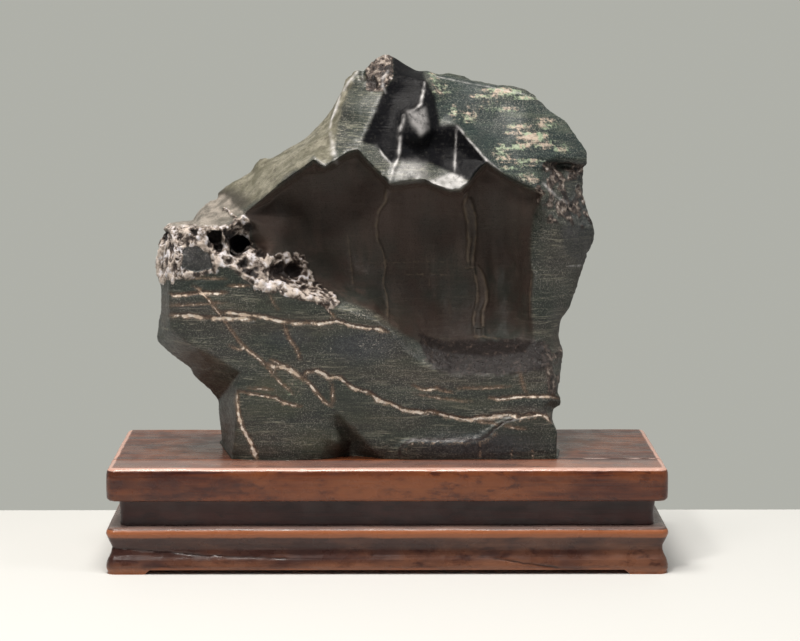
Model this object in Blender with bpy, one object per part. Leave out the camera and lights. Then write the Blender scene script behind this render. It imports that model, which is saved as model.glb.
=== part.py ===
"""A scholars rock of dark green banded stone, seated in a socket of its wooden stand.

Metres, +Z up. The origin lies under the middle of the stand, on the surface that it stands on, and the
front of the rock faces -Y. The rock is one closed stone. Its form is two reliefs, front and back, that
share one outline. Each relief is drawn with named lines of the stone, such as its brow and its crest,
and the surface between them is bent like a thin plate through its guide points.
"""

import bpy
import numpy as np
from mathutils import Vector, noise
from mathutils.geometry import delaunay_2d_cdt

MM = 0.001
GAP = 0.0003

# Stand: a slab of two boards on a waist, on a moulded base with four corner feet.
STAND_WIDTH = 0.400
STAND_DEPTH = 0.153
STAND_TOP = 0.0767
SLAB_UNDERSIDE = 0.0526
BASE_TOP = 0.0337
BASE_FLARE = 0.0008
WAIST_INSET = 0.0088
WAIST_FLARE = 0.0009
BOARD_JOINT_Y = -0.041
FOOT_LENGTH = 0.027
FOOT_SLANT = 0.004
APRON_GAP = 0.0033
PLAN_CORNER = 0.007
CORNER_STEPS = 5
SOCKET_DEPTH = 0.005

# Mouldings, as (inset from the outermost line, height above the underside) in mm, bottom to top.
SLAB_PROFILE = [(2.4, 0), (0.9, 0.5), (0.2, 1.9), (0, 6), (0, 15), (0.3, 20), (1.0, 22.4), (2.3, 23.7),
                (4.2, 24.1)]
WAIST_PROFILE = [(0.9, 0), (0.8, 10), (0.4, 15), (0, 18.3)]
BASE_PROFILE = [(0.7, 0), (1.1, 1.5), (0.1, 3.6), (0, 6.5), (1.0, 10.2), (3.0, 13.8), (3.9, 17), (4.0, 20),
                (1.5, 25.2), (0, 29), (0.3, 31), (1.4, 32.6), (3.0, 33.5), (5.0, 33.7)]

# Rock: sizes of the facets, and how far each relief's drawing plane is tipped, so that level ledges
# keep some height on it.
EDGE_STEP = 8.5
FRONT_STEP = 8.5
BACK_STEP = 13.0
TIP = 0.143

# Spread of the points between the lines: their least distance from a known point and their shift off
# an even grid, both in grid steps, and how fast that shift and the surface's roughness vary per mm.
CLEARANCE = 0.6
SHIFT = 0.22
SHIFT_PER_MM = 0.37
ROUGH_PER_MM = 0.11
TINY = 1e-9

# Lines of the rock, in mm: (across, height, depth), depth growing away from the viewer.
OUTLINE = [
    (-125, 76.7, 22), (-125, 95, 12), (-125, 112, 2), (-131, 120, -2), (-143, 132, -4), (-144, 137, -8),
    (-155, 146, -10), (-168, 158, -14), (-168, 164, -16), (-166, 176, -18), (-164, 183, -20),
    (-164, 199, -20), (-166, 210, -18), (-167, 220, -16), (-165, 233, -12), (-162, 241, -6),
    (-157, 245, -2), (-142, 246, 2), (-137, 253, 4), (-131, 259, 6), (-124, 261, 6), (-125, 265, 8),
    (-121, 269, 10), (-111, 275, 10), (-101, 281, 10), (-96, 289, 10), (-93, 292, 10), (-85, 291, 8),
    (-74, 297, 8), (-60, 305, 8), (-48, 317, 8), (-40, 327, 8), (-33, 339, 6), (-30, 349, 6),
    (-23, 355, 4), (-17, 354, 4), (-10, 362, 4), (-3, 366, 6), (4, 366, 8), (15, 360, 12), (24, 355, 14),
    (27, 357, 16), (58, 350, 18), (87, 345, 18), (106, 340, 16), (113, 333, 14), (120, 326, 10),
    (132, 317, 6), (138, 308, 2), (146, 297, -4), (146, 289, -8), (143, 281, -6), (143, 265, -6),
    (147, 252, -8), (152, 239, -10), (151, 230, -10), (143, 214, -14), (138, 196, -16), (133, 183, -18),
    (127, 174, -16), (126, 161, -14), (129, 152, -16), (127, 134, -22), (124, 123, -28), (126, 119, -30),
    (126, 113, -30), (121, 111, -30), (120, 104, -32), (123, 95, -40), (123, 76.7, -42)]
FOOT_FRONT = [
    (123, 76.7, -42), (82, 76.7, -44), (38, 76.7, -44), (9, 76.7, -44), (-1, 76.7, -42), (-11, 76.7, -36),
    (-22, 76.7, -31), (-29, 76.7, -29), (-35, 76.7, -35), (-48, 76.7, -44), (-74, 76.7, -47),
    (-99, 76.7, -45), (-112, 76.7, -42), (-125, 76.7, 22)]
FOOT_BACK = [
    (-125, 76.7, 22), (-112, 76.7, 33), (-84, 76.7, 40), (-30, 76.7, 46), (38, 76.7, 44), (92, 76.7, 38),
    (118, 76.7, 24), (127, 76.7, -10), (123, 76.7, -42)]

FRONT_LINES = {
    "brow": [(-102, 254, -36), (-89, 265, -43), (-77, 276, -48), (-60, 288, -51), (-52, 294, -50),
             (-44, 289, -54), (-30, 298, -52), (-21, 301, -48), (-14, 293, -50), (-5, 284, -52),
             (3, 277, -55), (12, 279, -53), (27, 280, -53), (32, 277, -54), (44, 273, -56), (51, 273, -54),
             (58, 278, -50), (64, 286, -46), (71, 292, -42), (84, 282, -44), (101, 274, -43),
             (112, 269, -40)],
    "ceiling": [(-102, 254, -36), (-86, 260, -24), (-74, 270, -18), (-60, 280, -11), (-44, 281, -8),
                (-30, 290, -6), (-21, 292, -6), (-15, 286, -8), (-6, 277, -12), (3, 269, -16),
                (13, 270, -10), (28, 271, -8), (46, 264, -10), (55, 265, -16), (63, 275, -12),
                (72, 284, -8), (86, 275, -12), (102, 267, -24), (112, 269, -40)],
    "crest": [(-113, 225, -48), (-105, 216, -49), (-95, 208, -49), (-86, 202, -50), (-73, 199, -50),
              (-63, 196, -50), (-44, 191, -50), (-26, 185, -49), (-7, 178, -48), (3, 171, -46)],
    "crest_back": [(-111, 234, -42), (-101, 227, -40), (-89, 218, -40), (-84, 209, -42), (-73, 204, -42),
                   (-61, 199, -43), (-44, 196, -42), (-25, 190, -42), (-9, 183, -42), (3, 171, -46)],
    "sill": [(3, 171, -46), (13, 157, -45), (27, 145, -45), (45, 138, -44), (74, 137, -43),
             (103, 139, -40), (118, 145, -34), (129, 152, -16)],
    "scoop_rib": [(3, 269, -16), (-9, 250, -10), (-8, 233, -8), (-2, 214, -8), (-4, 202, -10),
                  (0, 183, -22)],
    "vein_rib": [(55, 265, -16), (62, 251, -11), (61, 232, -6), (59, 215, -5), (67, 206, -5),
                 (72, 189, -9), (70, 162, -24)],
    "right_jamb": [(102, 267, -24), (105, 252, -26), (103, 234, -27), (103, 218, -27), (106, 209, -30),
                   (104, 191, -32), (106, 163, -31)],
    "left_edge": [(-154, 171, -48), (-155, 182, -49), (-155, 193, -48), (-155, 205, -47), (-156, 220, -42),
                  (-155, 232, -38), (-155, 240, -34)],
    "ledge": [(-155, 240, -34), (-148, 243, -40), (-133, 244, -44), (-118, 243, -46), (-113, 247, -42),
              (-106, 250, -38), (-102, 254, -36)],
    "ledge_end": [(-155, 240, -34), (-162, 241, -6)],
    "shoulder_root": [(-124, 261, 6), (-119, 260, -6), (-112, 258, -18), (-105, 255, -30), (-102, 254, -36)],
    "left_keel": [(-154, 171, -48), (-134, 158, -48), (-120, 151, -48), (-105, 141, -48)],
    "keel_back": [(-154, 171, -48), (-162, 165, -30), (-168, 158, -14)],
    "leg_edge": [(-105, 141, -48), (-108, 129, -47), (-108, 111, -46), (-110, 91, -44), (-112, 76.7, -42)],
    "leg_root": [(-105, 141, -48), (-115, 125, -22), (-125, 112, 2)],
    "notch_left": [(-39, 114, -47), (-40, 101, -46), (-36, 89, -46), (-35, 76.7, -35)],
    "notch_deep": [(-39, 114, -47), (-32, 99, -38), (-26, 88, -32), (-22, 76.7, -31)],
    "notch_right": [(-39, 114, -47), (-31, 106, -46), (-24, 99, -46), (-16, 91, -45), (-7, 81, -44),
                    (-1, 76.7, -42)],
    "lip": [(9, 76.7, -44), (9, 84, -47), (13, 89, -48), (20, 91, -48), (42, 90, -48), (67, 92, -48),
            (73, 95, -48), (78, 100, -48), (85, 105, -47), (103, 108, -46), (111, 110, -45), (117, 107, -42),
            (123, 95, -40)],
    "lip_root": [(-1, 76.7, -42), (5, 86, -45), (12, 92, -45), (20, 94, -45), (42, 93, -45), (64, 95, -45),
                 (70, 99, -45), (77, 104, -45), (96, 111, -44), (111, 114, -42)],
    "right_edge": [(118, 145, -34), (117, 130, -37), (116, 119, -38), (111, 114, -42), (111, 110, -45)],
    "summit_edge": [(4, 366, 8), (2, 358, -6), (1, 350, -14), (-4, 338, -22), (-9, 326, -30),
                    (-19, 305, -42), (-21, 301, -48)],
    "facet_top": [(1, 350, -14), (9, 350, -13), (19, 349, -12), (27, 348, -14), (27, 357, 16)],
    "facet_ridge": [(27, 348, -14), (27, 341, -18), (23, 332, -26), (16, 324, -33), (11, 315, -36),
                    (9, 294, -42), (3, 277, -55)],
    "facet_foot": [(-19, 305, -42), (-9, 305, -38), (-4, 302, -39), (3, 291, -44), (9, 294, -42)],
    "bright_facet": [(16, 324, -33), (28, 325, -28), (29, 315, -36), (24, 310, -42), (18, 318, -38),
                     (16, 324, -33)],
    "facet_side": [(27, 341, -18), (32, 339, -20), (36, 320, -24), (38, 317, -26)],
    "face_corner": [(38, 317, -26), (49, 317, -28), (59, 305, -36), (71, 292, -42)],
    "lip_back": [(9, 294, -42), (22, 293, -40), (29, 290, -40), (30, 282, -46), (41, 281, -44),
                 (50, 283, -42), (58, 278, -50)],
    "face_strip": [(27, 357, 16), (66, 344, 4), (91, 340, 4), (113, 333, 14)],
    "cleft_top": [(112, 289, -30), (121, 293, -22), (133, 292, -16), (146, 289, -8)],
    "cleft": [(112, 289, -30), (120, 286, -14), (131, 286, -9), (143, 281, -6)],
    "right_corner": [(112, 269, -40), (110, 258, -38), (118, 249, -36), (125, 244, -34), (125, 233, -34),
                     (131, 222, -26), (143, 214, -14)],
    "right_nose": [(125, 244, -34), (136, 241, -22), (152, 239, -10)],
}
FRONT_GUIDES = [
    # left, middle and right scoops of the hollow
    (-89, 246, -35), (-80, 236, -34), (-71, 250, -24), (-63, 261, -9), (-45, 265, -2), (-27, 273, -2),
    (-63, 233, -15), (-41, 238, -1), (-23, 242, -3), (-38, 217, -7), (-22, 210, -7), (-48, 206, -24),
    (-27, 198, -22), (17, 253, -2), (37, 249, 1), (28, 227, 4), (45, 215, 0), (21, 199, -2),
    (39, 187, -5), (31, 174, -14), (52, 169, -16), (80, 261, -8), (86, 238, -1), (91, 215, 0),
    (88, 188, -6), (84, 171, -15),
    # floor of the hollow
    (-9, 187, -36), (9, 176, -30), (27, 160, -29), (46, 155, -28), (89, 157, -28), (118, 168, -26),
    # pockets behind the crest
    (-76, 216, -33), (-69, 222, -29), (-58, 217, -27), (-66, 210, -26), (-74, 208, -36), (-62, 203, -36),
    # pits and lumps of the crusted block
    (-160, 236, -20), (-145, 236, -42), (-129, 239, -46), (-123, 238, -37), (-120, 231, -42),
    (-124, 223, -48), (-135, 231, -47), (-145, 220, -47), (-131, 215, -46), (-107, 241, -32),
    (-110, 233, -38), (-102, 240, -30), (-135, 252, -10), (-122, 255, -14), (-116, 254, -20),
    (-125, 248, -26),
    # lower front face
    (-91, 92, -46), (-66, 92, -47), (-55, 110, -47), (-5, 106, -44), (38, 102, -43), (-84, 125, -48),
    (-62, 136, -49), (-27, 128, -48), (9, 121, -46), (45, 117, -45), (81, 121, -43), (-140, 194, -50),
    (-119, 208, -50), (-105, 172, -51), (-76, 158, -51), (-41, 158, -50), (-12, 150, -48), (24, 132, -46),
    (67, 129, -44),
    # summit facets and the shoulder slope
    (6, 338, -18), (4, 322, -28), (-5, 312, -34), (32, 306, -30), (45, 302, -28), (49, 290, -34),
    (59, 293, -36), (37, 287, -38), (19, 300, -35), (-11, 347, -9), (-6, 354, -8), (-3, 345, -16),
    (-34, 330, -8), (-38, 313, -20), (-39, 301, -36), (-21, 341, -8), (-25, 320, -24), (-99, 269, -16),
    (-81, 284, -18), (-62, 297, -20), (-49, 306, -20),
    # banded face and the crumbled right side
    (42, 337, -8), (67, 333, -6), (60, 316, -20), (82, 325, -8), (103, 325, -8), (79, 302, -28),
    (103, 306, -22), (119, 312, -10), (95, 289, -36), (129, 301, -12), (121, 279, -24), (132, 270, -18),
    (124, 260, -28), (136, 253, -18), (113, 235, -34), (116, 219, -32), (125, 203, -26), (122, 186, -25),
    (114, 176, -29)]

BACK_LINES = {
    "belt": [(-166, 176, -18), (-150, 178, 12), (-120, 178, 34), (-72, 170, 47), (-20, 176, 54),
             (32, 168, 55), (82, 160, 48), (112, 164, 30), (126, 161, -14)],
    "step": [(-150, 178, 12), (-138, 192, 12), (-108, 194, 25), (-60, 186, 36), (-15, 194, 42),
             (35, 188, 45), (80, 176, 40), (112, 164, 30)],
    "bowl_rim": [(-70, 262, 26), (-48, 282, 30), (-26, 276, 36), (-27, 250, 38), (-42, 228, 38),
                 (-66, 236, 32), (-70, 262, 26)],
    "shelf": [(-22, 225, 41), (12, 232, 41), (40, 222, 43), (70, 230, 40), (94, 225, 33)],
    "scar": [(54, 96, 43), (82, 98, 39), (88, 124, 40), (62, 136, 46), (54, 96, 43)],
    "spine": [(4, 366, 8), (0, 348, 22), (-8, 310, 32), (-16, 262, 37), (-22, 225, 41), (-15, 194, 42)],
    "left_rib": [(-85, 291, 8), (-88, 270, 18), (-92, 240, 22), (-108, 194, 25)],
    "right_rib": [(106, 340, 16), (98, 312, 28), (88, 270, 33), (94, 225, 33), (80, 176, 40)],
    "side_rib": [(152, 239, -10), (138, 228, 8), (118, 206, 24), (112, 164, 30)],
    "leg_fold": [(-84, 76.7, 40), (-88, 104, 38), (-96, 138, 38), (-120, 178, 34)],
    "foot_fold": [(38, 76.7, 44), (30, 104, 42), (44, 134, 47), (32, 168, 55)],
    "heel": [(118, 76.7, 24), (119, 104, 22), (116, 134, 24), (112, 164, 30)],
}
BACK_GUIDES = [
    (-48, 256, 22), (-55, 305, 18), (-30, 328, 18), (-50, 208, 30), (-130, 225, 8), (-142, 150, 12),
    (-118, 130, 22), (-55, 130, 38), (-10, 118, 40), (0, 146, 45), (71, 114, 34), (92, 140, 41),
    (40, 322, 30), (60, 285, 24), (36, 248, 30), (10, 210, 34), (62, 206, 34), (30, 345, 24),
    (70, 345, 24), (40, 270, 26), (70, 252, 28),
    (122, 285, 16), (128, 256, 12), (116, 232, 22), (-118, 262, 12), (-60, 100, 38), (126, 190, 4),
    (124, 120, -6)]

# Crumbled places: (across, height, reach) in mm. Their facets are rough by CRUMB, the rest by WAVE.
CRUMBLED = [(-140, 232, 26), (-108, 232, 20), (-86, 210, 18), (-56, 200, 16), (-22, 188, 16),
            (-8, 350, 18), (30, 150, 18), (62, 148, 20), (96, 150, 18), (122, 152, 16), (126, 280, 20),
            (128, 255, 18)]
CRUMB = 2.4
WAVE = 0.5


def material(name, colour, roughness):
    made = bpy.data.materials.new(name)
    made.use_nodes = True
    shader = made.node_tree.nodes["Principled BSDF"]
    shader.inputs["Base Color"].default_value = (*colour, 1.0)
    shader.inputs["Roughness"].default_value = roughness
    shader.inputs["Metallic"].default_value = 0.0
    return made


def add_object(name, vertices, faces, look):
    mesh = bpy.data.meshes.new(name)
    mesh.from_pydata(vertices, [], faces)
    mesh.materials.append(look)
    mesh.validate()
    made = bpy.data.objects.new(name, mesh)
    bpy.context.scene.collection.objects.link(made)
    return made


# ---------------------------------------------------------------- stand

def plan_loop(half_x, half_y, radius, height):
    """A rectangle with round corners, anticlockwise seen from above."""
    corners = [(1, 1, 0), (-1, 1, 90), (-1, -1, 180), (1, -1, 270)]
    loop = []
    for side_x, side_y, start in corners:
        for angle in np.radians(np.linspace(start, start + 90, CORNER_STEPS + 1)):
            x = side_x * (half_x - radius) + radius * np.cos(angle)
            y = side_y * (half_y - radius) + radius * np.sin(angle)
            loop.append((x, y, height))
    return loop


def moulding(name, profile, half_x, half_y, bottom, look):
    """A solid whose outer face follows a profile all the way round."""
    loops = []
    for inset, rise in profile:
        step_in = inset * MM
        radius = max(PLAN_CORNER - step_in, 0.001)
        loops.append(plan_loop(half_x - step_in, half_y - step_in, radius, bottom + rise * MM))
    count = len(loops[0])
    vertices = [corner for loop in loops for corner in loop]
    faces = [tuple(reversed(range(count)))]
    for level in range(len(loops) - 1):
        low = level * count
        for i in range(count):
            j = (i + 1) % count
            faces.append((low + i, low + j, low + count + j, low + count + i))
    top = (len(loops) - 1) * count
    faces.append(tuple(range(top, top + count)))
    return add_object(name, vertices, faces, look)


def add_cutter(name, vertices, faces):
    made = add_object(name, vertices, faces, cutter_look)
    made.hide_render = True
    made.display_type = "WIRE"
    return made


def prism_cutter(name, polygon, bottom, top):
    """A polygon of (x, y), anticlockwise seen from above, drawn up from bottom to top."""
    count = len(polygon)
    vertices = [(x, y, bottom) for x, y in polygon] + [(x, y, top) for x, y in polygon]
    faces = [tuple(reversed(range(count))), tuple(range(count, 2 * count))]
    faces += [(i, (i + 1) % count, count + (i + 1) % count, count + i) for i in range(count)]
    return add_cutter(name, vertices, faces)


def cut(target, tool, operation="DIFFERENCE"):
    modifier = target.modifiers.new(tool.name, "BOOLEAN")
    modifier.operation = operation
    modifier.solver = "EXACT"
    modifier.object = tool


def box_polygon(left, right, front, back):
    return [(left, front), (right, front), (right, back), (left, back)]


def apron_cutter(name, half_length, reach, along_x):
    """A flat wedge under the base: it leaves the feet, whose inner ends slant outward to the top."""
    under = -APRON_GAP
    slope = FOOT_SLANT / APRON_GAP
    section = [(half_length - under * slope, under), (half_length - FOOT_SLANT, APRON_GAP)]
    section += [(-run, height) for run, height in reversed(section)]
    near = [(run, -reach, height) if along_x else (reach, run, height) for run, height in section]
    far = [(run, reach, height) if along_x else (-reach, run, height) for run, height in section]
    faces = [(0, 1, 2, 3), (7, 6, 5, 4)] + [(i, i + 4, (i + 1) % 4 + 4, (i + 1) % 4) for i in range(4)]
    return add_cutter(name, near + far, faces)


def grown(loop, gap):
    """A polygon of (x, y), clockwise seen from above, moved outward by a gap."""
    made = []
    for i, here in enumerate(loop):
        before = np.subtract(here, loop[i - 1])
        after = np.subtract(loop[(i + 1) % len(loop)], here)
        outward = [np.array((-d[1], d[0])) / np.hypot(*d) for d in (before, after)]
        middle = outward[0] + outward[1]
        made.append(tuple(np.add(here, middle * gap * 2 / (middle @ middle))))
    return made


# ---------------------------------------------------------------- rock

def walk(line, step):
    """The points of a line, with more between them where they are more than a step apart."""
    walked = [tuple(map(float, line[0]))]
    for start, end in zip(line, line[1:]):
        pieces = max(1, round(np.linalg.norm(np.subtract(end, start)) / step))
        walked += [tuple(np.add(start, np.subtract(end, start) * k / pieces)) for k in range(1, pieces + 1)]
    return walked


def fill_points(border, known, step):
    """Points of a triangular grid inside a closed border, clear of the known points."""
    border = np.array(border)
    known = np.array(known)
    low = border.min(axis=0)
    high = border.max(axis=0)
    starts = border
    ends = np.roll(border, -1, axis=0)
    found = []
    row_height = step * np.sqrt(0.75)
    for row in range(int((high[1] - low[1]) / row_height) + 1):
        for column in range(int((high[0] - low[0]) / step) + 1):
            across = low[0] + (column + 0.5 * (row % 2)) * step
            up = low[1] + (row + 0.5) * row_height
            shift = noise.noise_vector(Vector((across, up, step)) * SHIFT_PER_MM) * SHIFT * step
            spot = np.array((across + shift.x, up + shift.y))
            crosses = (starts[:, 1] > spot[1]) != (ends[:, 1] > spot[1])
            rise = np.where(crosses, ends[:, 1] - starts[:, 1], 1.0)
            meets = starts[:, 0] + (spot[1] - starts[:, 1]) / rise * (ends[:, 0] - starts[:, 0])
            inside = np.count_nonzero(crosses & (spot[0] < meets)) % 2
            if inside and np.hypot(*(known - spot).T).min() > CLEARANCE * step:
                found.append(tuple(spot))
    return found


def thin_plate(flat, triangles, depth, known, smooth):
    """Depths for the unknown points: the least bending over all points that aren't on a sharp line."""
    count = len(flat)
    stiffness = np.zeros((count, count))
    area = np.full(count, TINY)
    for corners in triangles:
        for k in range(3):
            a, b, c = corners[k], corners[(k + 1) % 3], corners[(k + 2) % 3]
            u = flat[a] - flat[c]
            v = flat[b] - flat[c]
            twice = abs(u[0] * v[1] - u[1] * v[0]) + TINY
            weight = 0.5 * (u @ v) / twice
            stiffness[a, b] += weight
            stiffness[b, a] += weight
            stiffness[a, a] -= weight
            stiffness[b, b] -= weight
            area[c] += twice / 6
    rows = stiffness[smooth] / np.sqrt(area[smooth])[:, None]
    unknown = ~known
    solved = np.linalg.lstsq(rows[:, unknown], -rows[:, known] @ depth[known], rcond=None)[0]
    depth[unknown] = solved


def roughness_at(x, z):
    for across, height, reach in CRUMBLED:
        if np.hypot(x - across, z - height) < reach:
            return CRUMB
    return WAVE


def relief(rim, lines, guides, step, tip):
    """One side of the rock over its tipped drawing plane: its points, in mm, and its triangles."""
    places = {}
    depths = []
    edges = []
    for number, line in enumerate([rim] + lines):
        walked = line if number == 0 else walk(line, EDGE_STEP)
        spots = []
        for x, z, y in walked:
            key = (round(x, 3), round(z + tip * y, 3))
            if key not in places:
                places[key] = len(depths)
                depths.append(y)
            spots.append(places[key])
        edges += [(a, b) for a, b in zip(spots, spots[1:]) if a != b]
    on_line = len(depths)
    for x, z, y in guides:
        places[(round(x, 3), round(z + tip * y, 3))] = len(depths)
        depths.append(y)
    known_count = len(depths)
    flat = list(places)
    border = [(x, z + tip * y) for x, z, y in rim[:-1]]
    flat += fill_points(border, flat, step)
    points = [Vector(spot) for spot in flat]
    vertices, _, triangles, origin, _, _ = delaunay_2d_cdt(points, edges, [], 1, 1e-4)
    index = [found[0] if found else None for found in origin]
    if None in index:
        crossing = vertices[index.index(None)]
        raise ValueError(f"two lines of the rock cross near {crossing}")
    triangles = [[index[corner] for corner in corners] for corners in triangles]
    flat = np.array(flat)
    depth = np.zeros(len(flat))
    depth[:known_count] = depths
    known = np.arange(len(flat)) < known_count
    smooth = np.arange(len(flat)) >= on_line
    thin_plate(flat, triangles, depth, known, smooth)
    for i in range(known_count, len(flat)):
        x, z = flat[i]
        depth[i] += roughness_at(x, z) * noise.noise(Vector((x, z, depth[i])) * ROUGH_PER_MM)
    return [(x, z - tip * y, y) for (x, z), y in zip(flat, depth)], triangles


def rock_object(name, look):
    outline = walk(OUTLINE, EDGE_STEP)
    foot_front = walk(FOOT_FRONT, EDGE_STEP)
    foot_back = walk(FOOT_BACK, EDGE_STEP)
    front = relief(outline + foot_front[1:], list(FRONT_LINES.values()), FRONT_GUIDES, FRONT_STEP, TIP)
    back_rim = outline + foot_back[::-1][1:]
    back = relief(back_rim, list(BACK_LINES.values()), BACK_GUIDES, BACK_STEP, -TIP)
    found = {}

    def corner(x, z, y):
        return found.setdefault((round(x, 3), round(y, 3), round(z, 3)), len(found))

    faces = []
    for (points, triangles), turned in ((front, 1), (back, -1)):
        numbers = [corner(*point) for point in points]
        faces += [tuple(numbers[i] for i in corners[::turned]) for corners in triangles]
    seat = (STAND_TOP - SOCKET_DEPTH + GAP) / MM
    ring = [corner(*point) for point in foot_front[:-1] + foot_back[:-1]]
    sole = [corner(x, seat, y) for x, z, y in foot_front[:-1] + foot_back[:-1]]
    for i, j in zip(range(len(ring)), list(range(1, len(ring))) + [0]):
        faces.append((ring[i], ring[j], sole[j], sole[i]))
    faces.append(tuple(sole))
    vertices = [Vector(spot) * MM for spot in found]
    return add_object(name, vertices, faces, look)


# ---------------------------------------------------------------- the whole

for old in list(bpy.data.objects):
    bpy.data.objects.remove(old, do_unlink=True)

stone = material("dark_green_stone", (0.035, 0.042, 0.036), 0.35)
board_wood = material("board_wood", (0.120, 0.045, 0.025), 0.30)
base_wood = material("base_wood", (0.095, 0.042, 0.026), 0.35)
waist_wood = material("waist_wood", (0.035, 0.015, 0.012), 0.45)
cutter_look = material("cutter", (0.5, 0.5, 0.5), 0.5)

half_width = STAND_WIDTH / 2
half_depth = STAND_DEPTH / 2

base = moulding("stand_base", BASE_PROFILE, half_width + BASE_FLARE, half_depth + BASE_FLARE, 0.0, base_wood)
cut(base, apron_cutter("apron_long_cutter", half_width - FOOT_LENGTH, STAND_DEPTH, True))
cut(base, apron_cutter("apron_short_cutter", half_depth - FOOT_LENGTH, STAND_WIDTH, False))

waist_out = WAIST_FLARE - WAIST_INSET
moulding("stand_waist", WAIST_PROFILE, half_width + waist_out, half_depth + waist_out, BASE_TOP + GAP,
         waist_wood)

foot_plan = [(x * MM, y * MM) for x, _, y in FOOT_FRONT[:-1] + FOOT_BACK[:-1]]
socket_plan = grown(foot_plan, GAP)[::-1]
socket = prism_cutter("socket_cutter", socket_plan, STAND_TOP - SOCKET_DEPTH, STAND_TOP + SOCKET_DEPTH)
board_spans = {
    "stand_top_front_board": (-STAND_DEPTH, BOARD_JOINT_Y),
    "stand_top_back_board": (BOARD_JOINT_Y + GAP, STAND_DEPTH),
}
for board_name, (board_front, board_back) in board_spans.items():
    board = moulding(board_name, SLAB_PROFILE, half_width, half_depth, SLAB_UNDERSIDE, board_wood)
    span = box_polygon(-STAND_WIDTH, STAND_WIDTH, board_front, board_back)
    cut(board, prism_cutter(board_name + "_span_cutter", span, 0.0, 2 * STAND_TOP), "INTERSECT")
    cut(board, socket)

rock_object("rock", stone)
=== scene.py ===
"""Looks of a scholars rock on its wooden stand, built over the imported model.

The rock and the four pieces of the stand are finer copies of their CAD solids: their long edges are
split, their coarse facets are rounded except at real edges, and pits, cracks, veins and wear are then
worked into the surface. Sizes named *_MM and all places on the rock are in mm, as (across, height).
"""

import math

import bmesh
import bpy
import numpy as np
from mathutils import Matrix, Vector


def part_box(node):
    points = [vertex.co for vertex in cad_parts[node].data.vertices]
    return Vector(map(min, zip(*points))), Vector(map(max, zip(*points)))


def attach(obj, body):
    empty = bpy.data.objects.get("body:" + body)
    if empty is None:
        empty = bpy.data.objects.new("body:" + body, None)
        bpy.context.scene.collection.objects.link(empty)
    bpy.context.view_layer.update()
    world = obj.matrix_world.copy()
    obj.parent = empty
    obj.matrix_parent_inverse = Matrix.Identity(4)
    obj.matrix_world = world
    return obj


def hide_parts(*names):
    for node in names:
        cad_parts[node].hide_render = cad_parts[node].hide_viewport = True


MM = 0.001

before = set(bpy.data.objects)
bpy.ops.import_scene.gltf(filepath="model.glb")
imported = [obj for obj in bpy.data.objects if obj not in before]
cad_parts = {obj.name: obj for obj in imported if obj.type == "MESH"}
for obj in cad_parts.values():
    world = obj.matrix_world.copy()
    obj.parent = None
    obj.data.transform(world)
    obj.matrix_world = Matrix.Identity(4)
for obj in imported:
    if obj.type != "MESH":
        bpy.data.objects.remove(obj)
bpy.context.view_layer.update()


# ---------------------------------------------------------------- camera, light and floor

CAMERA_PLACE = (-0.0105, -1.691, 0.4139)
CAMERA_PITCH = 8.15
CAMERA_YAW = -0.25
FOCAL_PIXELS = 2326.0
FRAME_PIXELS = 800.0
CENTRE_PIXEL = 382.5

# Lamps as (place, aim, size, watts, colour), and the floor, in m.
WARM = (1.0, 0.96, 0.91)
LAMPS = {
    "top_light": ((-0.15, -0.30, 1.60), (0, 0, 0.2), (0.8, 0.5), 34, WARM),
    "key_light": ((-0.75, -1.25, 1.55), (-0.05, 0, 0.22), (0.30, 0.30), 16, WARM),
    "side_light": ((1.2, -0.5, 1.2), (0, 0, 0.25), (0.4, 0.4), 4.5, (0.95, 0.98, 1.0)),
}
FLOOR_SIZE = (2.4, 1.6)
FLOOR_BACK_Y = 0.13


def add_camera():
    data = bpy.data.cameras.new("camera")
    data.sensor_width = 36.0
    data.lens = data.sensor_width * FOCAL_PIXELS / FRAME_PIXELS
    data.shift_x = (FRAME_PIXELS / 2 - CENTRE_PIXEL) / FRAME_PIXELS
    data.clip_start = 0.05
    data.clip_end = 20.0
    camera = bpy.data.objects.new("camera", data)
    camera.location = CAMERA_PLACE
    camera.rotation_euler = (math.radians(90 - CAMERA_PITCH), 0, math.radians(CAMERA_YAW))
    bpy.context.scene.collection.objects.link(camera)
    bpy.context.scene.camera = camera


def add_softbox(name, place, aim, size, watts, colour):
    data = bpy.data.lights.new(name, "AREA")
    data.shape = "RECTANGLE"
    data.size, data.size_y = size
    data.energy = watts
    data.color = colour
    light = bpy.data.objects.new(name, data)
    light.location = place
    light.rotation_euler = (Vector(aim) - Vector(place)).to_track_quat("-Z", "Y").to_euler()
    bpy.context.scene.collection.objects.link(light)


def add_room():
    """A grey wall for the camera, and a room that lights the rock more from behind than from the front."""
    world = bpy.data.worlds.new("grey_room")
    world.use_nodes = True
    nodes, links = world.node_tree.nodes, world.node_tree.links
    direction = nodes.new("ShaderNodeTexCoord").outputs["Generated"]
    split = nodes.new("ShaderNodeSeparateXYZ")
    links.new(direction, split.inputs[0])
    toward_back = nodes.new("ShaderNodeMapRange")
    toward_back.inputs["From Min"].default_value = -0.7
    toward_back.inputs["From Max"].default_value = 0.7
    links.new(split.outputs["Y"], toward_back.inputs["Value"])
    room = nodes.new("ShaderNodeMix")
    room.data_type = "RGBA"
    room.inputs[6].default_value = (0.095, 0.095, 0.10, 1)
    room.inputs[7].default_value = (0.43, 0.435, 0.40, 1)
    links.new(toward_back.outputs["Result"], room.inputs["Factor"])
    shown = nodes.new("ShaderNodeMix")
    shown.data_type = "RGBA"
    shown.inputs[7].default_value = (0.43, 0.435, 0.395, 1)
    links.new(nodes.new("ShaderNodeLightPath").outputs["Is Camera Ray"], shown.inputs["Factor"])
    links.new(room.outputs[2], shown.inputs[6])
    links.new(shown.outputs[2], nodes["Background"].inputs["Color"])
    bpy.context.scene.world = world
    bpy.context.scene.view_settings.view_transform = "Standard"


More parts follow.
